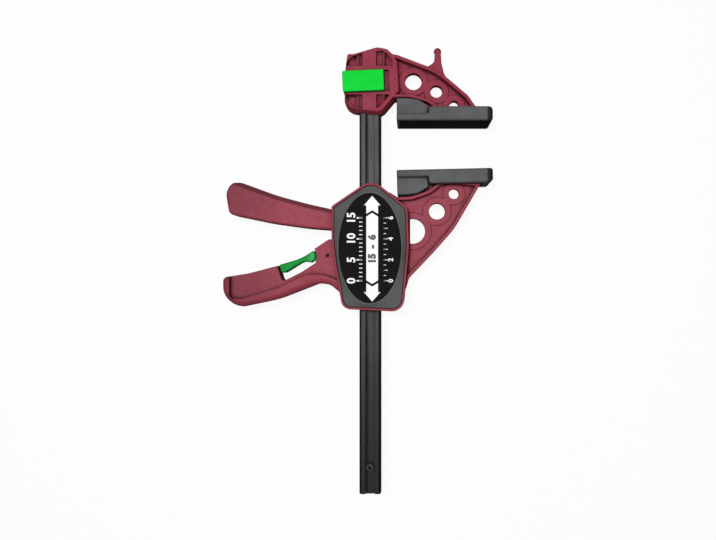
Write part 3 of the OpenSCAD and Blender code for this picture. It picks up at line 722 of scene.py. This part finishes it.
def pocket_pair(column, row):
    """One corner pocket: a shallow bay over the bar, a deep one beside it, and the rib between them."""
    inner, rib, outer = column
    first, last = row
    bays = []
    for near, far, floor in ((inner, rib, SHALLOW), (rib, outer, DEEP)):
        low, high = min(near, far), max(near, far)
        corners = [(low, first, 0.6), (high, first, 0.6), (high, last, 0.6), (low, last, 0.6)]
        bays.append(sweep(outline(corners, 4),
                          pocket_profile(MID + floor - FACE_IN, MID + HEAD_HALF, 0.5, 0.5), HEAD_PLACE))
    rib_box = box((rib - POCKET_RIB_HALF, first - 1, MID),
                  (rib + POCKET_RIB_HALF, last + 1, MID + POCKET_RIB_TOP), HEAD_PLACE)
    return cut(fuse(*bays), rib_box)


def head_pockets():
    pockets = [pocket_pair(c, r) for c in POCKET_COLUMNS for r in POCKET_ROWS]
    around = sweep(outline(POCKETS), pocket_profile(MID, MID + HEAD_HALF, 0, 0.5), HEAD_PLACE)
    return keep(fuse(pockets[0], *pockets[1:]), around)


def lock_track():
    corners = [(-40, -TRACK_HALF), (TRACK_END, -TRACK_HALF, 0.5), (TRACK_END, TRACK_HALF, 0.5),
               (-40, TRACK_HALF)]
    return sweep(outline(corners, 4), pocket_profile(
        MID + TRACK_FLOOR - FACE_IN, MID + HEAD_HALF, 0.25, 0.4), LOCK_PLACE)


def head():
    block = keep(plate(outline(HEAD), HEAD_HALF, 1.1, HEAD_PLACE),
                 sloped(HEAD_SLOPE, HEAD_HALF, HEAD_SLOPE_IN, HEAD_SLOPE_FALL, HEAD_PLACE))
    arm = arm_skin(HEAD_ARM, HEAD_HOLES, HEAD_PLACE)
    horn = plate(outline(HORN), HORN_HALF, 1.0, HEAD_PLACE)
    ball = ball_of(HEAD_PLACE @ Vector((*HORN_TIP, MID)), HORN_BALL_R - 0.02)
    skin = fuse(block, arm, horn, ball, *shoe_envelope(HEAD_PLACE))
    skin = cut(skin, *mirrored(head_pockets), *mirrored(lock_track), *hole_cutters(HEAD_HOLES, HEAD_PLACE))
    skin = keep(skin, solid_of("head_moulding"))
    finish_piece(skin, "head_moulding_skin", "bar_and_head", CRIMSON, ["head_moulding"])


# ---- Head lock ----
BUTTON_LEFT, BUTTON_RIGHT, BUTTON_HALF_H, BUTTON_HALF_T = -26.8, 3.3, 7.5, 12.0


def lock_button():
    corners = [(BUTTON_LEFT, -BUTTON_HALF_H, 1.2), (BUTTON_RIGHT, -BUTTON_HALF_H, 0.8),
               (BUTTON_RIGHT, BUTTON_HALF_H, 0.8), (BUTTON_LEFT, BUTTON_HALF_H, 1.2)]
    skin = keep(plate(outline(corners), BUTTON_HALF_T, 0.6, LOCK_PLACE), solid_of("head_lock_button"))
    finish_piece(skin, "head_lock_button_skin", "head_lock", SIGNAL, ["head_lock_button"])


# ---- Jaw pads ----
PAD_LEFT, PAD_RIGHT, PAD_HALF_W, HOOD_HALF_W = 19.6, 89, 17.0, 11
PAD_PLATE = [(PAD_LEFT, 0, 0.9), (PAD_RIGHT, 0, 2.2), (PAD_RIGHT, 5.2, 0.9), (PAD_LEFT, 5.2, 0.9)]
PAD_BACK = [(42.7, 0.5, 0.9), (PAD_RIGHT, 0.5, 2), (PAD_RIGHT, 10.2, 3.4), (42.7, 10.2, 2.2)]
PAD_HOOD = [(PAD_LEFT, 1.2, 0), (42.3, 1.2, 0), (42.3, 12.2, 2.5), (35, 16.4, 6), (27, 17.4, 6),
            (PAD_LEFT, 17.4, 1.1)]
PAD_FILLET = [(40.6, 3, 0), (44.4, 3, 0), (44.4, 7.4, 0), (42.9, 7.2, 0), (42.2, 5.6, 0), (41.3, 5.0, 0)]
PAD_PLAN = [(PAD_LEFT, -PAD_HALF_W, 1.2), (PAD_RIGHT, -PAD_HALF_W, 3.4), (PAD_RIGHT, PAD_HALF_W, 3.4),
            (PAD_LEFT, PAD_HALF_W, 1.2)]
GRIP_MARGIN, GRIP_DEEP, PIP_PITCH = 1.8, 0.4, 1.75
JAWS = [("fixed_jaw_pad", "bar_and_head", FIXED_PAD_PLACE), ("moving_jaw_pad", "body", MOVING_PAD_PLACE)]


def pad_skin(node, place):
    back = plate(outline(PAD_BACK), PAD_HALF_W, 1.3, place)
    front = plate(outline(PAD_PLATE), PAD_HALF_W, 2.2, place)
    hood = plate(outline(PAD_HOOD), HOOD_HALF_W, 1.0, place)
    fillet = plate(outline(PAD_FILLET), PAD_HALF_W, 0.85, place)
    tall = sweep(outline(PAD_PLAN), edge_profile(SKIN, 18, 0.7, 0), place @ ALONG_Y)
    skin = keep(fuse(back, front, hood, fillet), tall)
    recess = sweep(grown(outline(PAD_PLAN), -GRIP_MARGIN),
                   [(0, -2.0), (0, GRIP_DEEP - 0.12), (-0.12, GRIP_DEEP)], place @ ALONG_Y)
    return keep(cut(skin, recess), solid_of(node))


def pads():
    for node, body, place in JAWS:
        finish_piece(pad_skin(node, place), f"{node}_skin", body, RUBBER, [node])


# ---- Housing ----
HOUSING_HALF, RIM_TOP, RIM_W = 13.5, 15.5, 1.8
HOUSING = [(-27.3, 29.6, 2), (-27.2, 5, 1.4), (-25, -14, 30), (-19.3, -44.4, 7), (24.5, -46.5, 9),
           (28.6, 0, 60), (27.7, 28.4, 7), (1.8, 49.4, 12)]
HANDLE = [(-12, 6.1), (-12, -38), (-19, -38), (-21.6, -32.9, 8), (-28.5, -26.9, 10), (-37, -26, 12),
          (-68, -38.1, 80), (-95.4, -43.85, 14.6), (-106.5, -34.85, 14.6), (-106.5, -21.6, 3.5),
          (-88, -18.6, 80), (-67.2, -13.1, 1.2), (-39.7, -0.3, 1.2), (-30.2, 6.1, 2)]
HANDLE_BAND_R, PANEL_FLOOR = 4.5, 7.0
HANDLE_PANEL = [(-101.3, -10), (-101.3, -36.7, 3), (-92, -36.9, 10), (-65.7, -28.9, 40), (-46.5, -19.5, 18),
                (-33.5, -19.4, 20), (-21, -24.6), (-21, 12), (-48, 12)]
LEVER_OPENING = [(-68.4, -8), (-67.5, -13.6, 0.6), (-63.9, -24.7, 2.2), (-50.3, -17.9, 40), (-40, -11.3, 3),
                 (-38.8, -8.3, 2), (-38.8, -5.5, 2), (-40.5, -1.2), (-41.5, 4.5)]
MOVING_ARM = [(14, -30), (26.4, -30), (28.6, -22.3, 7), (46, -4, 50), (61.3, 13.3, 50), (81, 47, 1),
              (58, 49.9), (51.8, 48.9), (42.5, 41.7, 14), (30, 37.5, 14), (20, 36.9), (14, 40.5)]
MOVING_HOLES = [(49.1, 26.8, 5.9), (61.5, 39.7, 3.7)]
ROUND_HOLE, HOLE_WALL_X = (31.1, 12.3, 9.2), 29.4


def half_round_hole():
    """The hole that the housing's wall cuts off on its left."""
    x, y, r = ROUND_HOLE
    first = math.acos((HOLE_WALL_X - x) / r)
    arc = [Vector((x + r * math.cos(a), y + r * math.sin(a)))
           for a in [-first + 2 * first * i / 40 for i in range(41)]]
    return through(traced(arc), BOSS_HALF, 0.5)


def housing():
    shape = outline(HOUSING)
    block = plate(shape, RIM_TOP, 0.85)
    block = cut(block, *mirrored(lambda: sweep(
        grown(shape, -RIM_W), pocket_profile(MID + HOUSING_HALF - APART, MID + RIM_TOP, 0, 0.6))))
    grip = outline(HANDLE, 10)
    band = plate(grip, HOUSING_HALF, HANDLE_BAND_R)
    band = cut(band, *mirrored(lambda: sweep(
        outline(HANDLE_PANEL, 10), pocket_profile(MID + PANEL_FLOOR - APART, MID + HOUSING_HALF, 0.5, 0.6))))
    core = plate(grip, PANEL_FLOOR, 0.9)
    arm = arm_skin(MOVING_ARM, [ROUND_HOLE, *MOVING_HOLES], HERE)
    skin = fuse(block, band, core, arm, *shoe_envelope(MOVING_PAD_PLACE))
    skin = cut(skin, half_round_hole(), *hole_cutters(MOVING_HOLES, HERE),
               through(outline(LEVER_OPENING), PANEL_FLOOR, 0.6))
    skin = keep(skin, solid_of("body_housing"))
    finish_piece(skin, "body_housing_skin", "body", CRIMSON, ["body_housing"])


# ---- Covers and labels ----
COVER_EDGE, COVER_SHOULDER, COVER_TOP = 13.5, 15.1, 16.96
COVER_GAP = 0.15  # between a cover and the rim around it
OVAL_CENTRE, OVAL_HALF_W, OVAL_HALF_L = Vector((0.5, -0.6)), 22.5, 39.5
OVAL_RIM = 0.75
LABEL_TOP, PRINT_TOP = 16.9, 16.96
PEGS, PEG_R = [(22, 20), (19.5, -34), (-15.5, -36), (-12, 34.5)], 1.98


def ray_to(points, centre, angle):
    """How far from the centre a ray leaves an outline."""
    way = Vector((math.cos(angle), math.sin(angle)))
    best = 0.0
    for a, b in zip(points, points[1:] + points[:1]):
        a, b = a - centre, b - centre
        side = b - a
        across = way.x * side.y - way.y * side.x
        if abs(across) < 1e-9:
            continue
        t = (a.x * side.y - a.y * side.x) / across
        s = (a.x * way.y - a.y * way.x) / across
        if t > 0 and -1e-6 <= s <= 1 + 1e-6:
            best = max(best, t)
    return best


def oval_reach(angle, more):
    """How far the label's oval reaches in one direction, when it is this much larger."""
    return 1 / math.hypot(math.cos(angle) / (OVAL_HALF_W + more), math.sin(angle) / (OVAL_HALF_L + more))


def cover(node):
    """A lofted dome from the housing's outline to the rim of the oval label."""
    edge = outline(HOUSING, 12)(-(RIM_W + COVER_GAP + SKIN))
    angles = full_turn(192)
    outer = [ray_to(edge, OVAL_CENTRE, a) for a in angles]
    oval = [oval_reach(a, OVAL_RIM) for a in angles]
    seat = [oval_reach(a, 0) for a in angles]
    # (share of the way from the edge to the oval, height), then the seat of the label
    rise = [(0.0, COVER_EDGE + 0.02), (0.0, COVER_SHOULDER - 0.5), (0.012, COVER_SHOULDER - 0.2),
            (0.04, COVER_SHOULDER - 0.02)]
    rise += [(k / 12, COVER_SHOULDER + (COVER_TOP - COVER_SHOULDER) * (k / 12) ** 1.15) for k in range(1, 12)]
    rise += [(0.97, COVER_TOP - 0.06), (1.0, COVER_TOP)]
    rows = [[(o + (v - o) * share, height) for o, v in zip(outer, oval)] for share, height in rise]
    for wider, below in ((0.12, 0.0), (0.0, 0.1), (0.0, 0.42)):
        rows.append([(s + wider, COVER_TOP - below) for s in seat])
    verts = [Vector((OVAL_CENTRE.x + r * math.cos(a), OVAL_CENTRE.y + r * math.sin(a), MID + h))
             for row in rows for (r, h), a in zip(row, angles)]
    pegs = [sweep(ring(p, PEG_R, 32), [(-0.4, MID + 6.52), (0, MID + 7.0), (0, MID + 14)]) for p in PEGS]
    shell = fuse(lofted(verts, len(angles)), *pegs)
    if node == "rear_cover":
        shell.data.transform(TO_THE_BACK)
        outwards(shell)
    finish_piece(shell, f"{node}_dome", "body", COVER, [node])


def label(node):
    half_w, half_l = OVAL_HALF_W - 0.1, OVAL_HALF_L - 0.1
    oval = [Vector((OVAL_CENTRE.x + half_w * math.cos(a), OVAL_CENTRE.y + half_l * math.sin(a)))
            for a in full_turn(160)]
    film = sweep(traced(oval), [(-0.05, MID + COVER_TOP - 0.41), (0, MID + COVER_TOP - 0.35),
                                (0, MID + LABEL_TOP - 0.12), (-0.12, MID + LABEL_TOP)])
    if node == "rear_label":
        turn_over(film)
    finish_piece(film, f"{node}_film", "body", FILM, [node])


# ---- Print on the labels ----
ARROW_X, SHAFT_HALF, BARB_HALF = 2.2, 4.2, 5.9
ARROW_TOP, ARROW_LOW = 36.8, -38.9
BARB_LEN, CHEVRON_GAP = 6.8, 1.9
CHEVRON_TOP, CHEVRON_LOW, CHEVRON_RISE = 24.6, -26.3, 2.6
INK_T, FIGURE_HALF_T = 0.1, 0.025


def inked(points):
    top = MID + PRINT_TOP
    return sweep(traced([Vector(p) for p in points]), [(0, top - INK_T), (0, top)])


def arrow_shapes():
    """A double arrow in three pieces, parted by chevrons."""
    left, right, mid = ARROW_X - SHAFT_HALF, ARROW_X + SHAFT_HALF, ARROW_X
    top, low = ARROW_TOP - BARB_LEN, ARROW_LOW + BARB_LEN
    upper = [(left, CHEVRON_TOP - CHEVRON_RISE + CHEVRON_GAP), (mid, CHEVRON_TOP + CHEVRON_GAP),
             (right, CHEVRON_TOP - CHEVRON_RISE + CHEVRON_GAP), (right, top), (mid + BARB_HALF, top),
             (mid, ARROW_TOP), (mid - BARB_HALF, top), (left, top)]
    shaft = [(left, CHEVRON_LOW + CHEVRON_RISE), (mid, CHEVRON_LOW), (right, CHEVRON_LOW + CHEVRON_RISE),
             (right, CHEVRON_TOP - CHEVRON_RISE), (mid, CHEVRON_TOP), (left, CHEVRON_TOP - CHEVRON_RISE)]
    lower = [(left, low), (mid - BARB_HALF, low), (mid, ARROW_LOW), (mid + BARB_HALF, low), (right, low),
             (right, CHEVRON_LOW + CHEVRON_RISE - CHEVRON_GAP), (mid, CHEVRON_LOW - CHEVRON_GAP),
             (left, CHEVRON_LOW + CHEVRON_RISE - CHEVRON_GAP)]
    return [upper, shaft, lower]


def figures(text, centre, size, top, bold):
    """Plain figures that read upwards, as a flat raised print."""
    curve = bpy.data.curves.new("figures", "FONT")
    curve.body, curve.size, curve.align_x, curve.align_y = text, size, "CENTER", "CENTER"
    curve.extrude, curve.offset, curve.resolution_u = FIGURE_HALF_T, bold * size, 3
    obj = work_object(curve)
    graph = bpy.context.evaluated_depsgraph_get()
    mesh = bpy.data.meshes.new_from_object(obj.evaluated_get(graph))
    bpy.data.objects.remove(obj)
    mesh.transform(Matrix.Translation((*centre, top - FIGURE_HALF_T)) @ Matrix.Rotation(math.pi / 2, 4, "Z"))
    return work_object(mesh)


# ---- Geometry Nodes ----
def new_tree(name, lengths, counts):
    """A geometry tree with named inputs for its lengths, its whole numbers and its material."""
    tree = bpy.data.node_groups.new(name, "GeometryNodeTree")
    tree.interface.new_socket("Geometry", in_out="INPUT", socket_type="NodeSocketGeometry")
    for names, kind in ((lengths, "Float"), (counts, "Int"), (["Material"], "Material")):
        for socket in names:
            tree.interface.new_socket(socket, in_out="INPUT", socket_type=f"NodeSocket{kind}")
    tree.interface.new_socket("Geometry", in_out="OUTPUT", socket_type="NodeSocketGeometry")
    return tree, add(tree, "NodeGroupInput").outputs


def end_tree(tree, source, material):
    """Real geometry with its material, at the end of a tree."""
    real = add(tree, "GeometryNodeRealizeInstances", {"Geometry": source})
    paint = add(tree, "GeometryNodeSetMaterial", {"Geometry": real.outputs["Geometry"], "Material": material})
    add(tree, "NodeGroupOutput", {"Geometry": paint.outputs["Geometry"]})
    return tree


def grow_nodes(tree, values):
    """A plain mesh object from a geometry tree with its inputs set."""
    obj = work_object(bpy.data.meshes.new("work"))
    grower = obj.modifiers.new("grow", "NODES")
    grower.node_group = tree
    for item in tree.interface.items_tree:
        if item.in_out == "INPUT" and item.name in values:
            grower[item.identifier] = values[item.name]
    return evaluated(obj)


def pip_tree():
    """A field of small four-sided pips with flat tops, base at z = 0."""
    tree, given = new_tree("grip_pips", ["Length", "Width", "Pip", "Tip", "Height"], ["Along", "Across"])
    field = add(tree, "GeometryNodeMeshGrid", {"Size X": given["Length"], "Size Y": given["Width"],
                                               "Vertices X": given["Along"], "Vertices Y": given["Across"]})
    pip = add(tree, "GeometryNodeMeshCone", {"Vertices": 4, "Radius Bottom": given["Pip"],
                                             "Radius Top": given["Tip"], "Depth": given["Height"]})
    stand = add(tree, "GeometryNodeInstanceOnPoints", {
        "Points": field.outputs["Mesh"], "Instance": pip.outputs["Mesh"], "Rotation": (0, 0, math.pi / 4)})
    return end_tree(tree, stand.outputs["Instances"], given["Material"])


PIP_R, PIP_TIP_R, PIP_H = 1.05, 0.45, GRIP_DEEP + 0.3
PIP_FIELD_IN = (1.3, 0.8)  # how far the outermost pips stand inside the recess, along and across


def grip_faces():
    """Pips on each pad's recessed face, which point towards the other jaw."""
    tree = pip_tree()
    length = PAD_RIGHT - PAD_LEFT - 2 * (GRIP_MARGIN + PIP_FIELD_IN[0])
    width = 2 * (PAD_HALF_W - GRIP_MARGIN - PIP_FIELD_IN[1])
    values = {"Length": length, "Width": width, "Along": int(length / PIP_PITCH) + 1,
              "Across": int(width / PIP_PITCH) + 1, "Pip": PIP_R, "Tip": PIP_TIP_R, "Height": PIP_H,
              "Material": GRIP}
    stand = (Matrix.Translation(((PAD_LEFT + PAD_RIGHT) / 2, PIP_H, MID))
             @ Matrix.Rotation(math.pi / 2, 4, "X"))
    for node, body, place in JAWS:
        pips = grow_nodes(tree, values)
        pips.data.transform(place @ stand)
        outwards(pips)
        base = sweep(grown(outline(PAD_PLAN), -GRIP_MARGIN - 0.05), [(0, GRIP_DEEP - 0.06), (0, PIP_H)],
                     place @ ALONG_Y)
        finish_piece(joined([pips, base]), f"{node}_grip", body, GRIP)


def tick_tree():
    """A row of short bars along Y, as on a rule."""
    tree, given = new_tree("scale_ticks", ["Step", "Length", "Thickness", "Height"], ["Count"])
    gap = add(tree, "ShaderNodeCombineXYZ", {"Y": given["Step"]})
    row = add(tree, "GeometryNodeMeshLine", {"Count": given["Count"], "Offset": gap.outputs["Vector"]})
    size = add(tree, "ShaderNodeCombineXYZ", {
        "X": given["Length"], "Y": given["Thickness"], "Z": given["Height"]})
    tick = add(tree, "GeometryNodeMeshCube", {"Size": size.outputs["Vector"]})
    stand = add(tree, "GeometryNodeInstanceOnPoints", {
        "Points": row.outputs["Mesh"], "Instance": tick.outputs["Mesh"]})
    return end_tree(tree, stand.outputs["Instances"], given["Material"])


SCALE_LOW, SCALE_SPAN = -24.0, 45.0
# Centimetres to the left of the arrow and inches to its right.
# Ticks: where they stand, the steps of the scale, and each tick's length and thickness
TICK_ROWS = [(-6.0, 15, 2.4, 0.6), (-6.9, 3, 4.2, 0.95), (11.3, 12, 1.8, 0.4), (11.8, 6, 2.8, 0.6)]
# Figures: where they stand, the length of the scale, those shown, their size and boldness
FIGURE_ROWS = [(-12.6, 15, (0, 5, 10, 15), 8.2, 0.03), (15.6, 6, (0, 2, 4, 6), 4.8, 0.032)]


def ticks(tree, x, steps, length, thickness):
    row = grow_nodes(tree, {"Step": SCALE_SPAN / steps, "Count": steps + 1, "Length": length,
                            "Thickness": thickness, "Height": INK_T, "Material": WHITE_INK})
    row.data.transform(Matrix.Translation((x, SCALE_LOW, MID + PRINT_TOP - INK_T / 2)))
    return row


def label_print():
    """On each label a double arrow with the clamp's reach on it, between two rules."""
    tree = tick_tree()
    top = MID + PRINT_TOP
    for side in ("front", "rear"):
        white = [inked(points) for points in arrow_shapes()]
        white += [ticks(tree, *row) for row in TICK_ROWS]
        for x, last, shown, size, bold in FIGURE_ROWS:
            white += [figures(str(n), (x, SCALE_LOW + SCALE_SPAN * n / last), size, top, bold) for n in shown]
        black = figures("15  -  6", (ARROW_X + 0.1, -1.4), 7.0, top + 0.012, 0.075)
        for ink, piece, material in (("white", joined(white), WHITE_INK), ("black", black, BLACK_INK)):
            if side == "rear":
                turn_over(piece)
            finish_piece(piece, f"{side}_print_{ink}", "body", material)


def spring_tree():
    """A compression spring with closed ends that stands on z = 0."""
    tree, given = new_tree("coil_spring", ["Radius", "Wire", "Length", "Turns"], ["Steps"])
    turns, wire, radius, steps = given["Turns"], given["Wire"], given["Radius"], given["Steps"]

    def number(operation, first, second=0.0):
        return math_node(tree, operation, first, second)

    def clamped(value):
        return number("MINIMUM", number("MAXIMUM", value, 0.0), 1.0)

    index = add(tree, "GeometryNodeInputIndex").outputs["Index"]
    turn = number("MULTIPLY", number("DIVIDE", index, number("SUBTRACT", steps, 1.0)), turns)
    angle = number("MULTIPLY", turn, 2 * math.pi)
    # The first and the last turn climb by 0.9 of the wire, and those between them by the rest
    closed = number("MULTIPLY", wire, 0.9)
    middle = number("SUBTRACT", number("SUBTRACT", given["Length"], wire), number("MULTIPLY", closed, 2.0))
    first = number("MULTIPLY", clamped(turn), closed)
    between = number("MULTIPLY", clamped(
        number("DIVIDE", number("SUBTRACT", turn, 1.0), number("SUBTRACT", turns, 2.0))), middle)
    last = number("MULTIPLY", clamped(number("SUBTRACT", turn, number("SUBTRACT", turns, 1.0))), closed)
    rise = number("ADD", number("ADD", number("ADD", first, between), last), number("MULTIPLY", wire, 0.5))
    spot = add(tree, "ShaderNodeCombineXYZ", {
        "X": number("MULTIPLY", radius, number("COSINE", angle)),
        "Y": number("MULTIPLY", radius, number("SINE", angle)), "Z": rise})
    line = add(tree, "GeometryNodeMeshLine", {"Count": steps})
    helix = add(tree, "GeometryNodeSetPosition", {
        "Geometry": line.outputs["Mesh"], "Position": spot.outputs["Vector"]})
    path = add(tree, "GeometryNodeMeshToCurve", {"Mesh": helix.outputs["Geometry"]})
    section = add(tree, "GeometryNodeCurvePrimitiveCircle", {
        "Resolution": 10, "Radius": number("MULTIPLY", wire, 0.5)})
    tube = add(tree, "GeometryNodeCurveToMesh", {
        "Curve": path.outputs["Curve"], "Profile Curve": section.outputs["Curve"], "Fill Caps": True})
    return end_tree(tree, tube.outputs["Mesh"], given["Material"])


UP_Y = Matrix.Rotation(-math.pi / 2, 4, "X")
UP_X = Matrix.Rotation(math.pi / 2, 4, "Y")
# node, body, outside diameter, wire, length, turns, steps, foot,
# the joint that shortens it and by how much, the axis of that and the point that stays
SPRINGS = [
    ("drive_spring", "body", 20.15, 1.4, 12.2, 5, 181, Matrix.Translation((0, -1, MID)) @ UP_Y,
     "drive_feed", 2.9, (0, 1, 0), (0, -1, MID)),
    ("brake_spring", "body", 5.0, 0.7, 16.36, 6, 181, Matrix.Translation((12.4, -25.5, MID)) @ UP_Y,
     "brake_swing", 2.7, (0, 1, 0), (12.4, -25.5, MID)),
    ("head_lock_spring", "bar_and_head", 4.8, 0.6, 5.8, 5, 151,
     LOCK_PLACE @ Matrix.Translation((-23.8, 0, MID)) @ UP_X,
     "head_lock_slide", 2.6, (0.9991945, 0.0401317, 0), None),
]


def springs():
    tree = spring_tree()
    for node, body, outside, wire, length, turns, steps, foot, joint, travel, axis, anchor in SPRINGS:
        coil = grow_nodes(tree, {"Radius": (outside - wire) / 2, "Wire": wire, "Length": length,
                                 "Turns": float(turns), "Steps": steps, "Material": WIRE})
        coil.data.transform(foot)
        outwards(coil)
        finish_piece(coil, f"{node}_wire", body, WIRE, [node])
        if anchor is None:  # the seat in the head, at the far end of the coil
            anchor = foot @ Vector((0, 0, length))
        tuple(MM * c for c in anchor)
        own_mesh(coil)
        tuple(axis)


# ---- Trigger and release lever ----
TRIGGER = [(-27, 28.2, 20), (-45, 32.2, 150), (-68, 38.3, 150), (-97.8, 49.2, 7), (-105, 41.4, 11),
           (-102.2, 24.2, 5), (-72.8, 18.1, 150), (-45, 14.2, 150), (-27, 12.9, 10), (-14, 12.9), (-14, 28.8)]
TRIGGER_HALF, TRIGGER_EDGE_R = 10.4, 2.0
# The slope follows the upper side only; the other sides of this outline are out of the way
TRIGGER_SLOPE = [(-14, 28.8), *TRIGGER[:3], (-125, 59.1), (-125, -10), (-14, -10)]
TRIGGER_SLOPE_IN, TRIGGER_SLOPE_FALL = 3.4, 9.0
LEVER_PAD = [(-66.9, -12.6, 1.2), (-65.1, -18.5, 1.2), (-62, -18.2, 1.5), (-51, -11.4, 6), (-48.5, -10.3, 4),
             (-43, -10.8, 2), (-39.6, -7.6, 2), (-40.4, -3.4, 1.2), (-41.6, -2, 1), (-48, -6.1, 20),
             (-52.7, -8.4, 40)]
LEVER_PAD_HALF, LEVER_PAD_R, LEVER_ARM_HALF = 6, 1.6, 3.97
LEVER_PIVOT, LEVER_PIN_R, LEVER_PIN_HALF_L = (-31, -5.7), 1.25, 6.9


def trigger():
    grip = plate(outline(TRIGGER, 12), TRIGGER_HALF, TRIGGER_EDGE_R)
    grip = keep(grip, sloped(TRIGGER_SLOPE, TRIGGER_HALF, TRIGGER_SLOPE_IN, TRIGGER_SLOPE_FALL))
    root = box((-23.4, 8, MID - 12), (12, 34, MID + 12))
    skin = keep(fuse(grip, root), solid_of("trigger"))
    finish_piece(skin, "trigger_skin", "trigger_lever", CRIMSON, ["trigger"])


def release_lever():
    pad = plate(outline(LEVER_PAD, 10), LEVER_PAD_HALF, LEVER_PAD_R)
    arm = box((-46, -20, MID - LEVER_ARM_HALF), (-15, 2, MID + LEVER_ARM_HALF))
    skin = keep(fuse(pad, arm), solid_of("release_lever"))
    finish_piece(skin, "release_lever_skin", "release", LEVER, ["release_lever"])


def release_lever_pin():
    """A pin with domed ends, just below the panels of the handle."""
    pin = plate(ring(LEVER_PIVOT, LEVER_PIN_R, 40), LEVER_PIN_HALF_L, 0.45, skin=0.005)
    finish_piece(pin, "release_lever_pin_domed", "body", BLACK_PIN, ["release_lever_pin"])


bar()
stop_pin()
head()
lock_button()
pads()
grip_faces()
housing()
cover("front_cover")
cover("rear_cover")
label("front_label")
label("rear_label")
label_print()
trigger()
release_lever()
release_lever_pin()
springs()
for plain in ("trigger_pivot_studs", "trigger_nose_pin", "drive_plate_upper", "drive_plate_lower",
              "brake_plate", "brake_fulcrum_pin", "head_lock_pin"):
    dress(plain, STEEL)


# ---- Floor, light and camera ----
FLOOR_GLOW = 0.92  # share of the floor's look that is plain white, the rest being lit and shaded
CAMERA_AT = (0.0307, -0.0163, 0.537)


def for_the_camera(tree, others, seen):
    """A shader for the camera's own rays and another for all others."""
    path = add(tree, "ShaderNodeLightPath")
    return add(tree, "ShaderNodeMixShader", {
        "Fac": path.outputs["Is Camera Ray"], 1: others, 2: seen}).outputs["Shader"]


def floor():
    bpy.ops.mesh.primitive_plane_add(size=8, location=(0, 0, 0))
    ground = bpy.context.object
    ground.name = "floor"
    material = bpy.data.materials.new("pale_floor")
    tree = cleared(material)
    grey = add(tree, "ShaderNodeBsdfDiffuse", {"Color": (0.25, 0.25, 0.25, 1)})
    lit = add(tree, "ShaderNodeBsdfDiffuse", {"Color": (0.9, 0.9, 0.9, 1)})
    glow = add(tree, "ShaderNodeEmission", {"Strength": 1.0})
    pale = add(tree, "ShaderNodeMixShader", {
        "Fac": FLOOR_GLOW, 1: lit.outputs["BSDF"], 2: glow.outputs["Emission"]})
    look = for_the_camera(tree, grey.outputs["BSDF"], pale.outputs["Shader"])
    add(tree, "ShaderNodeOutputMaterial", {"Surface": look})
    ground.data.materials.append(material)


def lamp(name, location, size, power):
    """A round lamp that points at the origin."""
    light = bpy.data.lights.new(name, "AREA")
    light.shape, light.size, light.energy = "DISK", size, power
    obj = bpy.data.objects.new(name, light)
    obj.location = location
    obj.rotation_euler = (-Vector(location)).to_track_quat("-Z", "Y").to_euler()
    bpy.context.scene.collection.objects.link(obj)


def sky(level):
    """White to the camera, and a dim light from all round."""
    world = bpy.data.worlds.new("studio")
    bpy.context.scene.world = world
    tree = cleared(world)
    dim, white = (add(tree, "ShaderNodeBackground", {"Color": (1, 1, 1, 1), "Strength": strength})
                  for strength in (level, 1.0))
    look = for_the_camera(tree, dim.outputs["Background"], white.outputs["Background"])
    add(tree, "ShaderNodeOutputWorld", {"Surface": look})


def camera():
    data = bpy.data.cameras.new("camera")
    data.sensor_width, data.lens = 36, 35.33
    data.shift_x = -0.0754
    data.clip_start, data.clip_end = 0.02, 20
    obj = bpy.data.objects.new("camera", data)
    obj.location = CAMERA_AT
    bpy.context.scene.collection.objects.link(obj)
    bpy.context.scene.camera = obj


camera()
floor()
lamp("key", (-0.08, 0.10, 1.02), 0.22, 7.6)
lamp("fill", (0.20, -0.10, 1.0), 0.7, 0.6)
sky(0.14)
bpy.context.scene.view_settings.view_transform = "Standard"
